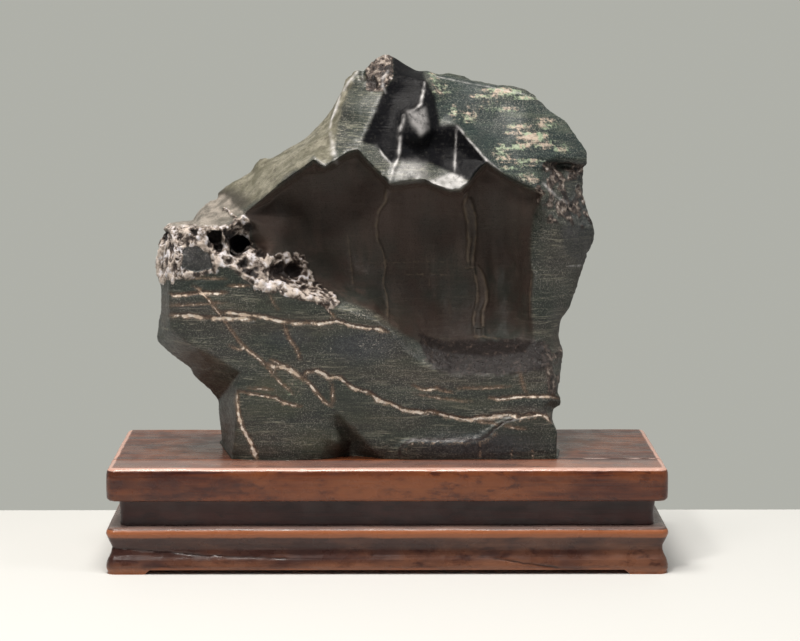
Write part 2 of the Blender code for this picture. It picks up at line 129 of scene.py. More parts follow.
def add_surroundings():
    add_room()
    for name, lamp in LAMPS.items():
        add_softbox(name, *lamp)
    bpy.ops.mesh.primitive_grid_add(x_subdivisions=4, y_subdivisions=4, size=1.0)
    floor = bpy.context.active_object
    floor.name = "floor"
    floor.scale = (*FLOOR_SIZE, 1)
    floor.location = (0, FLOOR_BACK_Y - FLOOR_SIZE[1] / 2, 0)
    pale = Graph("pale_floor")
    pale.shader.inputs["Base Color"].default_value = (0.56, 0.56, 0.545, 1)
    pale.shader.inputs["Roughness"].default_value = 0.7
    floor.data.materials.append(pale.material)


# ---------------------------------------------------------------- noise

def hashed(cell, seed):
    """A number from -1 to 1 for each whole-numbered cell."""
    x, y, z = (cell[:, axis].astype(np.int64).astype(np.uint32) for axis in range(3))
    mixed = x * np.uint32(374761393) + y * np.uint32(668265263) + z * np.uint32(2246822519)
    mixed += np.uint32(seed * 1013904223 % 2 ** 32)
    mixed = (mixed ^ (mixed >> np.uint32(13))) * np.uint32(1274126177)
    mixed = (mixed ^ (mixed >> np.uint32(15))) * np.uint32(2654435761)
    return (mixed >> np.uint32(8)).astype(float) / 2 ** 23 - 1


def noise(places, seed=0):
    """Smooth gradient noise, mostly from -0.6 to 0.6, one unit per cell."""
    base = np.floor(places)
    part = places - base
    blend = part ** 3 * (part * (part * 6 - 15) + 10)
    total = np.zeros(len(places))
    for corner in np.ndindex(2, 2, 2):
        offset = part - corner
        share = np.prod(np.where(corner, blend, 1 - blend), axis=1)
        slope = sum(hashed(base + corner, seed + 17 * axis) * offset[:, axis] for axis in range(3))
        total += share * slope
    return total


def layers(places, octaves, seed=0):
    """Several sizes of noise added up, each half the size and half the height of the one before."""
    return sum(noise(places * 2 ** k, seed + 5 * k) / 2 ** k for k in range(octaves))


def ridges(places, octaves, seed=0):
    """From 0 in the hollows to about 1 along thin ridges."""
    total = sum((1 - 2.2 * np.abs(noise(places * 2 ** k, seed + 7 * k))) / 2 ** k for k in range(octaves))
    return total / sum(1 / 2 ** k for k in range(octaves))


def cells(places, seed=0):
    """Distance to the nearest of a set of scattered points, about one to a cell."""
    base = np.floor(places)
    nearest = np.full(len(places), 9.0)
    for neighbour in np.ndindex(3, 3, 3):
        cell = base + np.array(neighbour) - 1
        spot = np.stack([cell[:, k] + 0.5 + 0.5 * hashed(cell, seed + 31 * k) for k in range(3)], axis=1)
        nearest = np.minimum(nearest, np.linalg.norm(places - spot, axis=1))
    return nearest


def rise(value, low, high):
    """0 below low, 1 above high and smooth between."""
    part = np.clip((value - low) / (high - low), 0, 1)
    return part * part * (3 - 2 * part)


# ---------------------------------------------------------------- lines and regions seen from the front

FAR = 1e9


def to_line(flat, line, reach=None):
    """For each flat point: its distance to a line, how far along the line, and its height over it.

    Points farther than reach from the line's box are left at FAR.
    """
    nearest = np.full(len(flat), FAR)
    along = np.zeros(len(flat))
    above = np.zeros(len(flat))
    low, high = np.min(line, axis=0), np.max(line, axis=0)
    close = np.arange(len(flat))
    if reach:
        close = np.flatnonzero(((flat > low - reach) & (flat < high + reach)).all(axis=1))
    flat = flat[close]
    run = 0.0
    for start, end in zip(line, line[1:]):
        start = np.array(start, float)
        step = np.subtract(end, start)
        length = np.hypot(*step)
        part = np.clip((flat - start) @ step / length ** 2, 0, 1)
        offset = flat - start - part[:, None] * step
        away = np.hypot(*offset.T)
        closer = away < nearest[close]
        nearest[close[closer]] = away[closer]
        along[close[closer]] = run + part[closer] * length
        above[close[closer]] = offset[closer, 1]
        run += length
    return nearest, along, above, run


def within(flat, corners, soft):
    """1 inside a closed outline of corners, 0 outside, and smooth over a strip as wide as soft."""
    away = to_line(flat, list(corners) + [corners[0]], soft)[0]
    inside = np.zeros(len(flat), bool)
    for (x0, z0), (x1, z1) in zip(corners, list(corners[1:]) + [corners[0]]):
        crosses = (z0 > flat[:, 1]) != (z1 > flat[:, 1])
        if z0 != z1:
            inside ^= crosses & (flat[:, 0] < x0 + (flat[:, 1] - z0) * (x1 - x0) / (z1 - z0))
    return rise(np.where(inside, away, -away), -soft / 2, soft / 2)


def near(flat, spot, reach):
    """1 at a spot, falling to 0 at its reach."""
    return 1 - rise(np.hypot(*(flat - spot).T), 0.3 * reach, reach)


# ---------------------------------------------------------------- meshes from the CAD solids

LEVEL_DEGREES = 12
MANY = 10 ** 7


def solid_arrays(node):
    """Vertices in mm and triangles of a CAD node, with doubled vertices joined."""
    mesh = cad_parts[node].data
    spots = np.empty(len(mesh.vertices) * 3)
    mesh.vertices.foreach_get("co", spots)
    spots = spots.reshape(-1, 3) / MM
    mesh.calc_loop_triangles()
    corners = np.empty(len(mesh.loop_triangles) * 3, int)
    mesh.loop_triangles.foreach_get("vertices", corners)
    first, joined = np.unique(np.round(spots, 2), axis=0, return_index=True, return_inverse=True)[1:]
    triangles = joined.reshape(-1)[corners].reshape(-1, 3)
    real = (triangles != np.roll(triangles, 1, axis=1)).all(axis=1)
    return spots[first], triangles[real]


def sliced_arrays(node, steps):
    """Vertices in mm and triangles of a CAD node, cut by even planes whose spacings are steps, in mm."""
    solid = bmesh.new()
    solid.from_mesh(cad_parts[node].data)
    bmesh.ops.remove_doubles(solid, verts=solid.verts, dist=0.01 * MM)
    low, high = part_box(node)
    for axis, step in enumerate(steps):
        across = Vector([float(axis == k) for k in range(3)])
        for number in range(1, int((high[axis] - low[axis]) / (step * MM)) + 1):
            parts = [*solid.verts, *solid.edges, *solid.faces]
            place = across * (low[axis] + number * step * MM)
            bmesh.ops.bisect_plane(solid, geom=parts, dist=0.05 * MM, plane_co=place, plane_no=across)
    bmesh.ops.triangulate(solid, faces=solid.faces)
    spots = np.array([vertex.co for vertex in solid.verts]) / MM
    solid.verts.index_update()
    triangles = np.array([[corner.index for corner in face.verts] for face in solid.faces])
    solid.free()
    return spots, triangles


def edge_keys(pairs):
    """One whole number for each edge, whichever way it runs."""
    return pairs.min(axis=-1) * MANY + pairs.max(axis=-1)


def edge_table(triangles):
    """Each edge once, and the number of the edge along each side of each triangle."""
    sides = np.stack([triangles, np.roll(triangles, -1, axis=1)], axis=-1)
    once, numbers = np.unique(edge_keys(sides).reshape(-1), return_inverse=True)
    return np.stack([once // MANY, once % MANY], axis=1), numbers.reshape(-1, 3)


def edge_sides(numbers):
    """For each edge of a closed mesh, its two triangles and the number of its side in each."""
    order = np.argsort(numbers.reshape(-1), kind="stable").reshape(-1, 2)
    return order // 3, order % 3


def face_normals(spots, triangles):
    a, b, c = (spots[triangles[:, k]] for k in range(3))
    return np.cross(b - a, c - a)


def vertex_normals(spots, triangles):
    faces = face_normals(spots, triangles)
    total = np.stack([sum(np.bincount(triangles[:, k], faces[:, axis], len(spots)) for k in range(3))
                      for axis in range(3)], axis=1)
    return total / (np.linalg.norm(total, axis=1, keepdims=True) + 1e-12)


def fold_cosines(spots, triangles, faces):
    """The cosine of the angle between the two triangles of each edge."""
    normals = face_normals(spots, triangles)
    normals /= np.linalg.norm(normals, axis=1, keepdims=True) + 1e-12
    return (normals[faces[:, 0]] * normals[faces[:, 1]]).sum(axis=1)


def sharp_edges(spots, triangles, degrees):
    """The edges at which two triangles meet at more than an angle."""
    edges, numbers = edge_table(triangles)
    faces = edge_sides(numbers)[0]
    return edges[fold_cosines(spots, triangles, faces) < math.cos(math.radians(degrees))]


def cotangent(spots, tip, first, second):
    u, v = spots[first] - spots[tip], spots[second] - spots[tip]
    return (u * v).sum(axis=1) / (np.linalg.norm(np.cross(u, v), axis=1) + 1e-9)


def turn_edges(spots, triangles, creases, rounds):
    """Turns edges between nearly level triangles where that makes them less thin."""
    held = edge_keys(creases)
    for _ in range(rounds):
        edges, numbers = edge_table(triangles)
        faces, sides = edge_sides(numbers)
        start, end = (triangles[faces[:, 0], (sides[:, 0] + k) % 3] for k in range(2))
        tips = np.stack([triangles[faces[:, k], (sides[:, k] + 2) % 3] for k in range(2)], axis=1)
        thin = -cotangent(spots, tips[:, 0], start, end) - cotangent(spots, tips[:, 1], start, end)
        keys = edge_keys(edges)
        fit = (thin > 0.05) & (fold_cosines(spots, triangles, faces) > math.cos(math.radians(LEVEL_DEGREES)))
        fit &= ~np.isin(keys, held) & ~np.isin(edge_keys(tips), keys) & (tips[:, 0] != tips[:, 1])
        thin = np.where(fit, thin, 0)
        most = thin[numbers].max(axis=1)
        chosen = np.flatnonzero(fit & (thin >= most[faces[:, 0]]) & (thin >= most[faces[:, 1]]))
        chosen = chosen[np.unique(edge_keys(tips[chosen]), return_index=True)[1]]
        one, two = faces[chosen].T
        chosen = chosen[np.unique(one, return_index=True)[1]]
        chosen = chosen[np.unique(faces[chosen, 1], return_index=True)[1]]
        chosen = chosen[~np.isin(faces[chosen, 0], faces[chosen, 1])]
        if not len(chosen):
            break
        triangles = triangles.copy()
        over, under = tips[chosen].T
        triangles[faces[chosen, 0]] = np.stack([start[chosen], under, over], axis=1)
        triangles[faces[chosen, 1]] = np.stack([under, end[chosen], over], axis=1)
    return triangles


def refine(spots, triangles, creases, wanted, finest):
    """Halves long edges, worst first, until none is longer than is wanted at its middle."""
    triangles = turn_edges(spots, triangles, creases, 12)
    known, ratios = np.array([-1]), np.zeros(1)
    for _ in range(80):
        edges, numbers = edge_table(triangles)
        keys = edge_keys(edges)
        place = np.minimum(np.searchsorted(known, keys), len(known) - 1)
        excess = np.where(known[place] == keys, ratios[place], 0)
        ends = spots[edges]
        length = np.linalg.norm(ends[:, 0] - ends[:, 1], axis=1)
        fresh = (known[place] != keys) & (length > finest)
        excess[fresh] = length[fresh] / wanted(ends[fresh].mean(axis=1))
        known, ratios = keys, excess.copy()
        excess *= 1 + 0.05 * (keys * 2654435761 % 1048573) / 1048573
        faces, sides = edge_sides(numbers)
        most = excess[numbers].max(axis=1)
        chosen = np.flatnonzero((excess > 1) & (excess >= most[faces[:, 0]]) & (excess >= most[faces[:, 1]]))
        if not len(chosen):
            break
        middles = len(spots) + np.arange(len(chosen))
        spots = np.concatenate([spots, ends[chosen].mean(axis=1)])
        new = np.full(len(edges), -1)
        new[chosen] = middles
        found = new[np.searchsorted(keys, edge_keys(creases))]
        halved = found >= 0
        a, b, m = creases[halved, 0], creases[halved, 1], found[halved]
        creases = np.concatenate([creases[~halved], np.stack([a, m], 1), np.stack([m, b], 1)])
        added = []
        for k in range(2):
            face, side = faces[chosen, k], sides[chosen, k]
            a, b, c = (triangles[face, (side + turn) % 3] for turn in range(3))
            added.append(np.stack([middles, b, c], axis=1))
            triangles[face] = np.stack([a, middles, c], axis=1)
        triangles = np.concatenate([triangles] + added)
    return spots, turn_edges(spots, triangles, creases, 8), creases


def neighbour_mean(values, edges, count):
    """The mean of each point's neighbours along some edges, and how many it has."""
    degree = np.bincount(edges.reshape(-1), minlength=count)
    total = np.stack([np.bincount(edges[:, 0], values[edges[:, 1], axis], count)
                      + np.bincount(edges[:, 1], values[edges[:, 0], axis], count) for axis in range(3)],
                      axis=1)
    return total / np.maximum(degree, 1)[:, None], degree


def round_off(spots, triangles, creases, rounds, fixed):
    """Rounds the coarse facets. A point on one crease only slides along it; fixed points stay."""
    count = len(spots)
    edges = edge_table(triangles)[0]
    on_crease = np.zeros(count, bool)
    on_crease[creases.reshape(-1)] = True
    free = ~on_crease & ~fixed
    for turn in range(rounds):
        pull = 0.6 if turn % 2 == 0 else -0.55
        mean = neighbour_mean(spots, edges, count)[0]
        spots = np.where(free[:, None], spots + pull * (mean - spots), spots)
        if turn % 4 < 2 and len(creases):
            mean, degree = neighbour_mean(spots, creases, count)
            slides = (degree == 2) & ~fixed
            spots = np.where(slides[:, None], spots + pull * 0.8 * (mean - spots), spots)
    return spots


def relax(spots, triangles, creases, rounds, fixed):
    """Plain rounding that also shrinks sharp folds a little."""
    count = len(spots)
    edges = edge_table(triangles)[0]
    held = fixed.copy()
    held[creases.reshape(-1)] = True
    for _ in range(rounds):
        mean = neighbour_mean(spots, edges, count)[0]
        spots = np.where(held[:, None], spots, 0.5 * (spots + mean))
    return spots


def mesh_object(name, spots, triangles, look, sharp=None, **fields):
    """A piece of the scene from its arrays; each field becomes a number stored at every point."""
    mesh = bpy.data.meshes.new(name)
    mesh.vertices.add(len(spots))
    mesh.vertices.foreach_set("co", (spots * MM).reshape(-1))
    mesh.loops.add(3 * len(triangles))
    mesh.loops.foreach_set("vertex_index", triangles.reshape(-1).astype(np.int32))
    mesh.polygons.add(len(triangles))
    mesh.polygons.foreach_set("loop_start", np.arange(0, 3 * len(triangles), 3, dtype=np.int32))
    mesh.update(calc_edges=True)
    mesh.validate()
    mesh.shade_smooth()
    if sharp:
        mesh.set_sharp_from_angle(angle=math.radians(sharp))
    for field, values in fields.items():
        mesh.attributes.new(field, "FLOAT", "POINT").data.foreach_set("value", values.astype(np.float32))
    mesh.materials.append(look)
    piece = bpy.data.objects.new(name, mesh)
    bpy.context.scene.collection.objects.link(piece)
    return piece


# ---------------------------------------------------------------- materials

class Graph:
    """A material's nodes. Each method adds one node and returns the output that is used."""

    def __init__(self, name):
        self.material = bpy.data.materials.new(name)
        self.material.use_nodes = True
        self.nodes = self.material.node_tree.nodes
        self.shader = self.nodes["Principled BSDF"]

    def put(self, socket, value):
        if isinstance(value, bpy.types.NodeSocket):
            self.material.node_tree.links.new(value, socket)
        elif value is not None:
            socket.default_value = (*value, 1) if socket.type == "RGBA" and len(value) == 3 else value

    def field(self, name):
        node = self.nodes.new("ShaderNodeAttribute")
        node.attribute_name = name
        return node.outputs["Fac"]

    def place(self, stretch=(1, 1, 1), turn=(0, 0, 0)):
        """The place on the object, in metres, scaled along each axis."""
        coordinates = self.nodes.new("ShaderNodeTexCoord")
        mapping = self.nodes.new("ShaderNodeMapping")
        mapping.inputs["Scale"].default_value = stretch
        mapping.inputs["Rotation"].default_value = [math.radians(angle) for angle in turn]
        self.put(mapping.inputs["Vector"], coordinates.outputs["Object"])
        return mapping.outputs["Vector"]

    def noise(self, place, size_mm, detail=3.0, rough=0.55, distort=0.0):
        node = self.nodes.new("ShaderNodeTexNoise")
        self.put(node.inputs["Vector"], place)
        node.inputs["Scale"].default_value = 1 / (size_mm * MM)
        node.inputs["Detail"].default_value = detail
        node.inputs["Roughness"].default_value = rough
        node.inputs["Distortion"].default_value = distort
        return node.outputs["Fac"]

    def cells(self, place, size_mm, feature="F1"):
        node = self.nodes.new("ShaderNodeTexVoronoi")
        node.feature = feature
        self.put(node.inputs["Vector"], place)
        node.inputs["Scale"].default_value = 1 / (size_mm * MM)
        return node.outputs["Distance"]

    def times(self, first, second):
        return self.calc("MULTIPLY", first, second)

    def plus(self, first, second):
        return self.calc("ADD", first, second)

    def minus(self, first, second):
        return self.calc("SUBTRACT", first, second)

    def calc(self, operation, *values):
        node = self.nodes.new("ShaderNodeMath")
        node.operation = operation
        for socket, value in zip(node.inputs, values):
            self.put(socket, value)
        return node.outputs[0]

    def rise(self, value, low, high, to_low=0.0, to_high=1.0):
        node = self.nodes.new("ShaderNodeMapRange")
        node.interpolation_type = "SMOOTHSTEP"
        for name, given in (("Value", value), ("From Min", low), ("From Max", high),
                            ("To Min", to_low), ("To Max", to_high)):
            self.put(node.inputs[name], given)
        return node.outputs["Result"]

    def mix(self, share, first, second, kind="MIX"):
        node = self.nodes.new("ShaderNodeMix")
        node.data_type = "RGBA"
        node.blend_type = kind
        self.put(node.inputs["Factor"], share)
        self.put(node.inputs[6], first)
        self.put(node.inputs[7], second)
        return node.outputs[2]

    def bump(self, height, depth_mm, under=None):
        node = self.nodes.new("ShaderNodeBump")
        node.inputs["Strength"].default_value = 1.0
        node.inputs["Distance"].default_value = depth_mm * MM
        self.put(node.inputs["Height"], height)
        self.put(node.inputs["Normal"], under)
        return node.outputs["Normal"]


# ---------------------------------------------------------------- the rock: its lines and regions

# Veins and cracks as (line, half width in mm, paleness, groove depth in mm). They are sheets through the
# stone: they dip toward the back, so they come out lower there.
DIP = 0.16
FRONT_Y = -48.0
VEINS = {
    "upper_white": ([(-155, 198), (-152, 196), (-143, 197), (-133, 198), (-115, 198)], 0.7, 0.9, 0.3),
    "long_left": ([(-155, 182), (-141, 182), (-130, 180), (-119, 180), (-105, 180), (-95, 179)], 1.1,
                   1.0, 0.8),
    "long_right": ([(-118, 184), (-112, 184), (-105, 183), (-95, 182), (-85, 180), (-77, 178), (-62, 176),
                    (-58, 177), (-48, 176), (-36, 178), (-27, 175), (-16, 173), (-5, 172), (0, 170)],
                   0.9, 1.0, 0.7),
    "thread": ([(-138, 203), (-133, 200), (-128, 194), (-120, 184), (-112, 172), (-105, 162), (-98, 155),
                (-91, 150), (-84, 142), (-77, 134), (-68, 126)], 0.45, 0.6, 0.0),
    "branch": ([(-74, 176), (-72, 170), (-70, 165), (-65, 158), (-62, 150)], 0.6, 0.7, 0.2),
    "crest_thread": ([(-55, 206), (-48, 196), (-41, 185), (-36, 178)], 0.5, 0.5, 0.1),
    "blob": ([(-112, 160), (-107, 158), (-101, 158), (-93, 152), (-87, 147)], 0.8, 0.6, 0.2),
    "bend": ([(-89, 147), (-80, 145), (-73, 144), (-68, 142), (-64, 139), (-60, 135)], 1.3, 1.0, 0.7),
    "bend_upper": ([(-83, 150), (-75, 146), (-68, 142)], 0.8, 0.8, 0.3),
    "great": ([(-60, 138), (-57, 141), (-51, 142), (-45, 140), (-42, 137), (-34, 137), (-26, 130),
               (-21, 128), (-13, 126), (-9, 123), (-5, 120), (2, 118), (8, 115), (11, 113), (22, 112),
               (27, 111), (31, 112), (38, 110), (47, 108), (53, 107), (61, 106), (66, 108), (74, 108),
               (79, 109), (88, 110), (96, 108), (104, 110), (114, 109), (119, 104)], 1.0, 1.0, 1.0),
    "fall": ([(-60, 137), (-54, 131), (-50, 125), (-46, 120), (-40, 116)], 0.8, 0.8, 0.3),
    "drop": ([(-40, 133), (-39, 127), (-39, 118)], 0.5, 0.6, 0.1),
    "leg_level": ([(-106, 127), (-97, 125), (-90, 124), (-80, 122), (-75, 119), (-68, 117), (-62, 116)],
                  0.7, 0.8, 0.3),
    "leg_thin": ([(-99, 129), (-90, 129), (-82, 128)], 0.5, 0.6, 0.1),
    "leg_fall": ([(-108, 127), (-108, 117), (-106, 106), (-103, 98), (-99, 91), (-96, 84), (-94, 77)],
                 1.1, 1.0, 0.5),
    "right_crook": ([(19, 131), (23, 129), (27, 128), (36, 129), (41, 127), (47, 126)], 0.7, 0.8, 0.2),
    "right_faint": ([(50, 129), (66, 129), (88, 130)], 0.5, 0.5, 0.1),
    "right_level": ([(74, 122), (81, 121), (96, 123), (110, 123), (120, 123), (125, 121)], 0.7, 0.9, 0.4),
    "right_low": ([(19, 125), (38, 122), (60, 119)], 0.5, 0.4, 0.1),
    "under_one": ([(64, 105), (75, 104), (80, 102)], 0.6, 0.7, 0.2),
    "under_two": ([(84, 102), (92, 100), (100, 99)], 0.6, 0.6, 0.2),
    "right_drop": ([(96, 140), (97, 133), (100, 126)], 0.5, 0.6, 0.1),
    "green_one": ([(-146, 208), (-133, 209), (-115, 208)], 0.6, 0.4, 0.1),
    "green_two": ([(-113, 203), (-104, 203), (-97, 203)], 0.6, 0.6, 0.1),
    "green_three": ([(-154, 189), (-133, 190), (-115, 191)], 0.5, 0.4, 0.1),
    "tick": ([(-84, 198), (-81, 191), (-78, 186)], 0.4, 0.4, 0.0),
}
HOLLOW_LINES = {
    "left_rib": ([(0, 271), (-1, 261), (-6, 254), (-8, 243), (-7, 232), (-3, 223), (-1, 213), (-3, 201),
                  (0, 190), (0, 176)], 0.9, 0.45, -0.9),
    "rib_outer": ([(58, 268), (56, 258), (59, 245), (60, 231), (59, 220), (60, 212)], 1.0, 0.55, -1.1),
    "rib_inner": ([(60, 262), (64, 250), (65, 235), (63, 220), (63, 212)], 0.9, 0.5, -0.9),
    "foot_outer": ([(63, 211), (66, 199), (66, 188), (63, 174), (64, 164)], 0.9, 0.5, -1.0),
    "foot_inner": ([(66, 212), (70, 206), (73, 195), (73, 188), (70, 180), (70, 164)], 0.9, 0.55, -1.0),
    "rib_tie": ([(55, 211), (66, 212)], 0.8, 0.45, -0.5),
    "jamb": ([(105, 214), (104, 201), (103, 191), (103, 178)], 0.6, 0.35, -0.3),
    "level_low": ([(10, 206), (31, 206), (50, 205)], 0.6, 0.22, 0.0),
    "level_high": ([(-16, 215), (24, 215), (46, 215)], 0.5, 0.15, 0.0),
    "floor_line": ([(60, 163), (71, 163), (82, 161)], 0.8, 0.35, -0.4),
    "left_flute": ([(-29, 238), (-27, 220), (-24, 197)], 0.7, 0.25, -0.3),
    "mid_flute": ([(31, 210), (31, 194)], 0.5, 0.2, 0.0),
}
# Ridges of the summit as (line, half width, paleness, groove depth) in mm; a negative depth raises them.
# Their paleness is a painted highlight.
SUMMIT_LINES = {
    "white_top": ([(27, 346), (26, 339), (24, 331), (19, 327), (15, 325)], 1.1, 0.9, -0.8),
    "white_fall": ([(12, 323), (10, 313), (9, 303), (8, 294), (4, 286), (2, 278)], 1.3, 0.9, -0.8),
    "cross": ([(-7, 303), (-3, 296), (2, 291), (6, 287)], 0.7, 0.7, -0.3),
    "pillar": ([(50, 313), (49, 299), (48, 284)], 1.1, 0.7, -0.6),
    "face_edge": ([(50, 316), (56, 309), (63, 301), (71, 292), (80, 285)], 0.8, 0.8, -0.3),
    "crag_edge": ([(-21, 354), (-27, 346), (-32, 338), (-35, 331), (-39, 320), (-41, 312)], 1.0, 0.8, -0.7),
    "crag_mark": ([(1, 355), (-3, 349), (-3, 344), (-1, 339)], 1.0, 0.7, -0.4),
    "slope_gleam": ([(-41, 310), (-38, 301), (-36, 289)], 2.0, 0.6, -0.6),
    "slope_tick": ([(-52, 295), (-48, 292), (-44, 290)], 0.7, 0.7, -0.3),
    "strip": ([(31, 351), (46, 348), (66, 344), (82, 341), (97, 338), (109, 334)], 0.6, 0.4, 0.3),
    "right_fall": ([(111, 276), (121, 266), (130, 260)], 0.9, 0.7, 0.0),
    "nose_line": ([(130, 215), (143, 214)], 0.7, 0.7, 0.0),
    "cleft": ([(110, 291), (125, 286), (143, 284)], 2.0, 0.0, 1.5),
}
LIP_CRACK = [(9, 78), (9, 85), (13, 89), (18, 92), (31, 92), (58, 92), (67, 92), (72, 95), (77, 100),
             (83, 104), (95, 108), (114, 111)]
LIP_SPLITS = [[(90, 83), (90, 76)], [(105, 84), (105, 76)], [(67, 90), (67, 78)]]

HOLLOW = [(-102, 254), (-89, 264), (-77, 274), (-60, 285), (-52, 291), (-44, 286), (-30, 295),
          (-21, 298), (-14, 290), (-5, 281), (3, 274), (12, 275), (27, 276), (44, 270), (51, 270),
          (58, 275), (64, 283), (71, 289), (84, 279), (101, 271), (110, 267), (105, 252), (103, 234),
          (103, 218), (106, 209), (104, 191), (106, 163), (100, 153), (74, 150), (45, 152), (27, 158),
          (13, 166), (3, 174), (-9, 184), (-25, 190), (-44, 196), (-61, 199), (-73, 204), (-84, 212),
          (-89, 220), (-95, 232), (-100, 246)]
SLOPE = [(-124, 262), (-105, 256), (-89, 266), (-77, 277), (-60, 289), (-52, 295), (-44, 290),
         (-38, 294), (-36, 312), (-32, 330), (-26, 344), (-20, 356), (-30, 352), (-42, 332), (-62, 310),
         (-84, 298), (-100, 294), (-128, 272)]
SLOPE_DARK = [(-128, 270), (-128, 256), (-104, 254), (-96, 262), (-108, 268)]
SUMMIT = [(4, 370), (1, 350), (-9, 326), (-19, 305), (-9, 303), (3, 290), (9, 292), (30, 290),
          (58, 278), (71, 292), (56, 309), (50, 317), (38, 317), (34, 338), (27, 350), (26, 364)]
CRAG = [(-16, 356), (-5, 366), (4, 368), (4, 351), (-2, 340), (-16, 341)]
FACE = [(26, 360), (30, 352), (36, 320), (50, 317), (71, 292), (84, 283), (101, 275), (110, 271), (112, 289),
        (133, 291), (150, 290), (152, 300), (134, 322), (108, 343), (60, 354)]
RIGHT_CRUMB = [(110, 290), (148, 288), (148, 262), (154, 245), (144, 240), (125, 244), (112, 248),
               (104, 268)]
RIGHT_NOSE = [(124, 244), (154, 239), (154, 228), (143, 214), (128, 226)]
CRUST = [(-170, 246), (-155, 243), (-113, 246), (-102, 254), (-96, 246), (-90, 232), (-84, 224),
         (-76, 227), (-60, 222), (-52, 205), (-20, 190), (3, 179), (6, 168), (-26, 183), (-63, 194),
         (-85, 200), (-96, 205), (-108, 213), (-118, 222), (-122, 213), (-147, 208), (-172, 206)]
OVAL = [(-146, 229), (-135, 232), (-125, 226), (-123, 216), (-137, 213), (-146, 216)]
LEDGE = [(-166, 246), (-155, 241), (-118, 245), (-102, 254), (-118, 264), (-140, 264), (-164, 250)]
ROUGH_FLOOR = [(22, 167), (45, 160), (67, 162), (115, 162), (121, 141), (81, 137), (45, 138), (28, 145)]
RIGHT_EDGE = [(114, 160), (130, 156), (130, 128), (120, 118), (113, 124)]
# Painted highlights on glossy facets of the summit, as outlines in mm.
LIP_HIGHLIGHT = [(3, 289), (9, 292), (20, 292), (27, 290), (28, 281), (19, 278), (9, 277), (3, 279)]
CRESCENT_HIGHLIGHT = [(30, 279), (38, 281), (46, 283), (53, 281), (57, 277), (52, 272), (41, 273), (31, 277)]
FACET_HIGHLIGHT = [(15, 326), (27, 328), (29, 314), (24, 310), (18, 318)]
# Painted shade: an oval over the rock's right side, and the dark pocket under the crust as an outline.
RIGHT_SHADE = [(150, 200, 22, 46, 1.0)]
POCKET = [(-83, 219), (-75, 222), (-66, 222), (-60, 218), (-55, 206), (-62, 201), (-73, 205), (-82, 207)]

# Pits of the crusted block: (across, height, reach, depth) in mm.
PITS = [(-160, 236, 6, 4), (-122, 238, 7, 5), (-120, 231, 4, 4), (-107, 231, 9, 6), (-112, 238, 5, 3),
        (-77, 214, 9, 4), (-67, 213, 8, 4), (-98, 243, 6, 3), (-138, 241, 4, 2), (-90, 226, 5, 2),
        (-101, 219, 4, 3), (-112, 222, 3, 2), (-97, 213, 3, 2), (-11, 346, 6, 3), (-17, 350, 4, 2)]

# Pale walls and knots of the crust: (points, half width, paleness) in mm.
WALLS = [([(-130, 236), (-127, 229), (-123, 223), (-117, 220)], 1.5, 0.85),
         ([(-117, 241), (-116, 233), (-114, 227), (-112, 223)], 0.9, 0.8),
         ([(-122, 220), (-117, 218), (-111, 219), (-106, 215), (-102, 212), (-97, 209), (-93, 206)],
           1.5, 0.95),
         ([(-97, 222), (-92, 217), (-89, 210), (-89, 203)], 3.4, 0.75),
         ([(-89, 219), (-85, 214), (-86, 207), (-87, 202)], 1.5, 0.9),
         ([(-94, 203), (-87, 201), (-80, 202)], 1.8, 1.0),
         ([(-80, 218), (-74, 221), (-70, 224), (-65, 220), (-63, 217), (-60, 222)], 0.7, 0.75),
         ([(-83, 204), (-78, 205), (-72, 201), (-66, 199), (-60, 195)], 2.2, 1.0),
         ([(-57, 195), (-51, 194), (-46, 192), (-41, 191)], 1.8, 0.95),
         ([(-57, 207), (-53, 201), (-48, 194), (-44, 189), (-40, 180)], 0.6, 0.6),
         ([(-63, 207), (-60, 202), (-56, 198)], 0.8, 0.6),
         ([(-154, 240), (-150, 232), (-151, 223), (-155, 214), (-160, 205)], 1.6, 1.0),
         ([(-147, 235), (-146, 224), (-149, 214), (-153, 206)], 1.1, 0.85),
         ([(-161, 229), (-164, 220), (-164, 211), (-161, 204)], 2.2, 1.0),
         ([(-157, 238), (-158, 226), (-158, 214)], 1.0, 0.8),
         ([(-145, 236), (-140, 240), (-134, 237), (-131, 242), (-128, 237), (-129, 230)], 1.3, 0.9),
         ([(-162, 240), (-152, 243), (-141, 244), (-127, 244), (-117, 243)], 0.9, 0.7),
         ([(-117, 243), (-108, 248), (-103, 252)], 0.9, 0.8),
         ([(-118, 256), (-113, 254), (-106, 249)], 0.9, 0.8)]

# Stains and specks, as ovals: (across, height, half length, half height, strength) in mm.
BLUE = [(66, 87, 62, 14, 1.0), (-18, 160, 36, 16, 0.8), (-70, 166, 24, 9, 0.5), (138, 252, 16, 26, 0.6),
        (118, 300, 30, 20, 0.2), (-135, 190, 20, 5, 0.3)]
OLIVE = [(-80, 130, 24, 14, 0.8), (-52, 91, 26, 12, 0.7), (-80, 113, 32, 9, 0.5), (-15, 108, 34, 8, 0.4),
         (60, 118, 34, 7, 0.4), (-100, 190, 40, 6, 0.3)]
BROWN = [(148, 196, 18, 46, 0.9), (98, 111, 32, 7, 0.9), (-140, 146, 28, 18, 0.8),
         (-116, 104, 9, 34, 0.8), (104, 140, 26, 16, 0.7), (40, 136, 60, 10, 0.6),
         (-88, 231, 9, 11, 1.0), (-30, 84, 14, 22, 0.5), (128, 225, 24, 34, 0.5),
         (128, 160, 12, 40, 0.6), (-160, 185, 6, 22, 0.6), (20, 180, 50, 16, 0.5)]
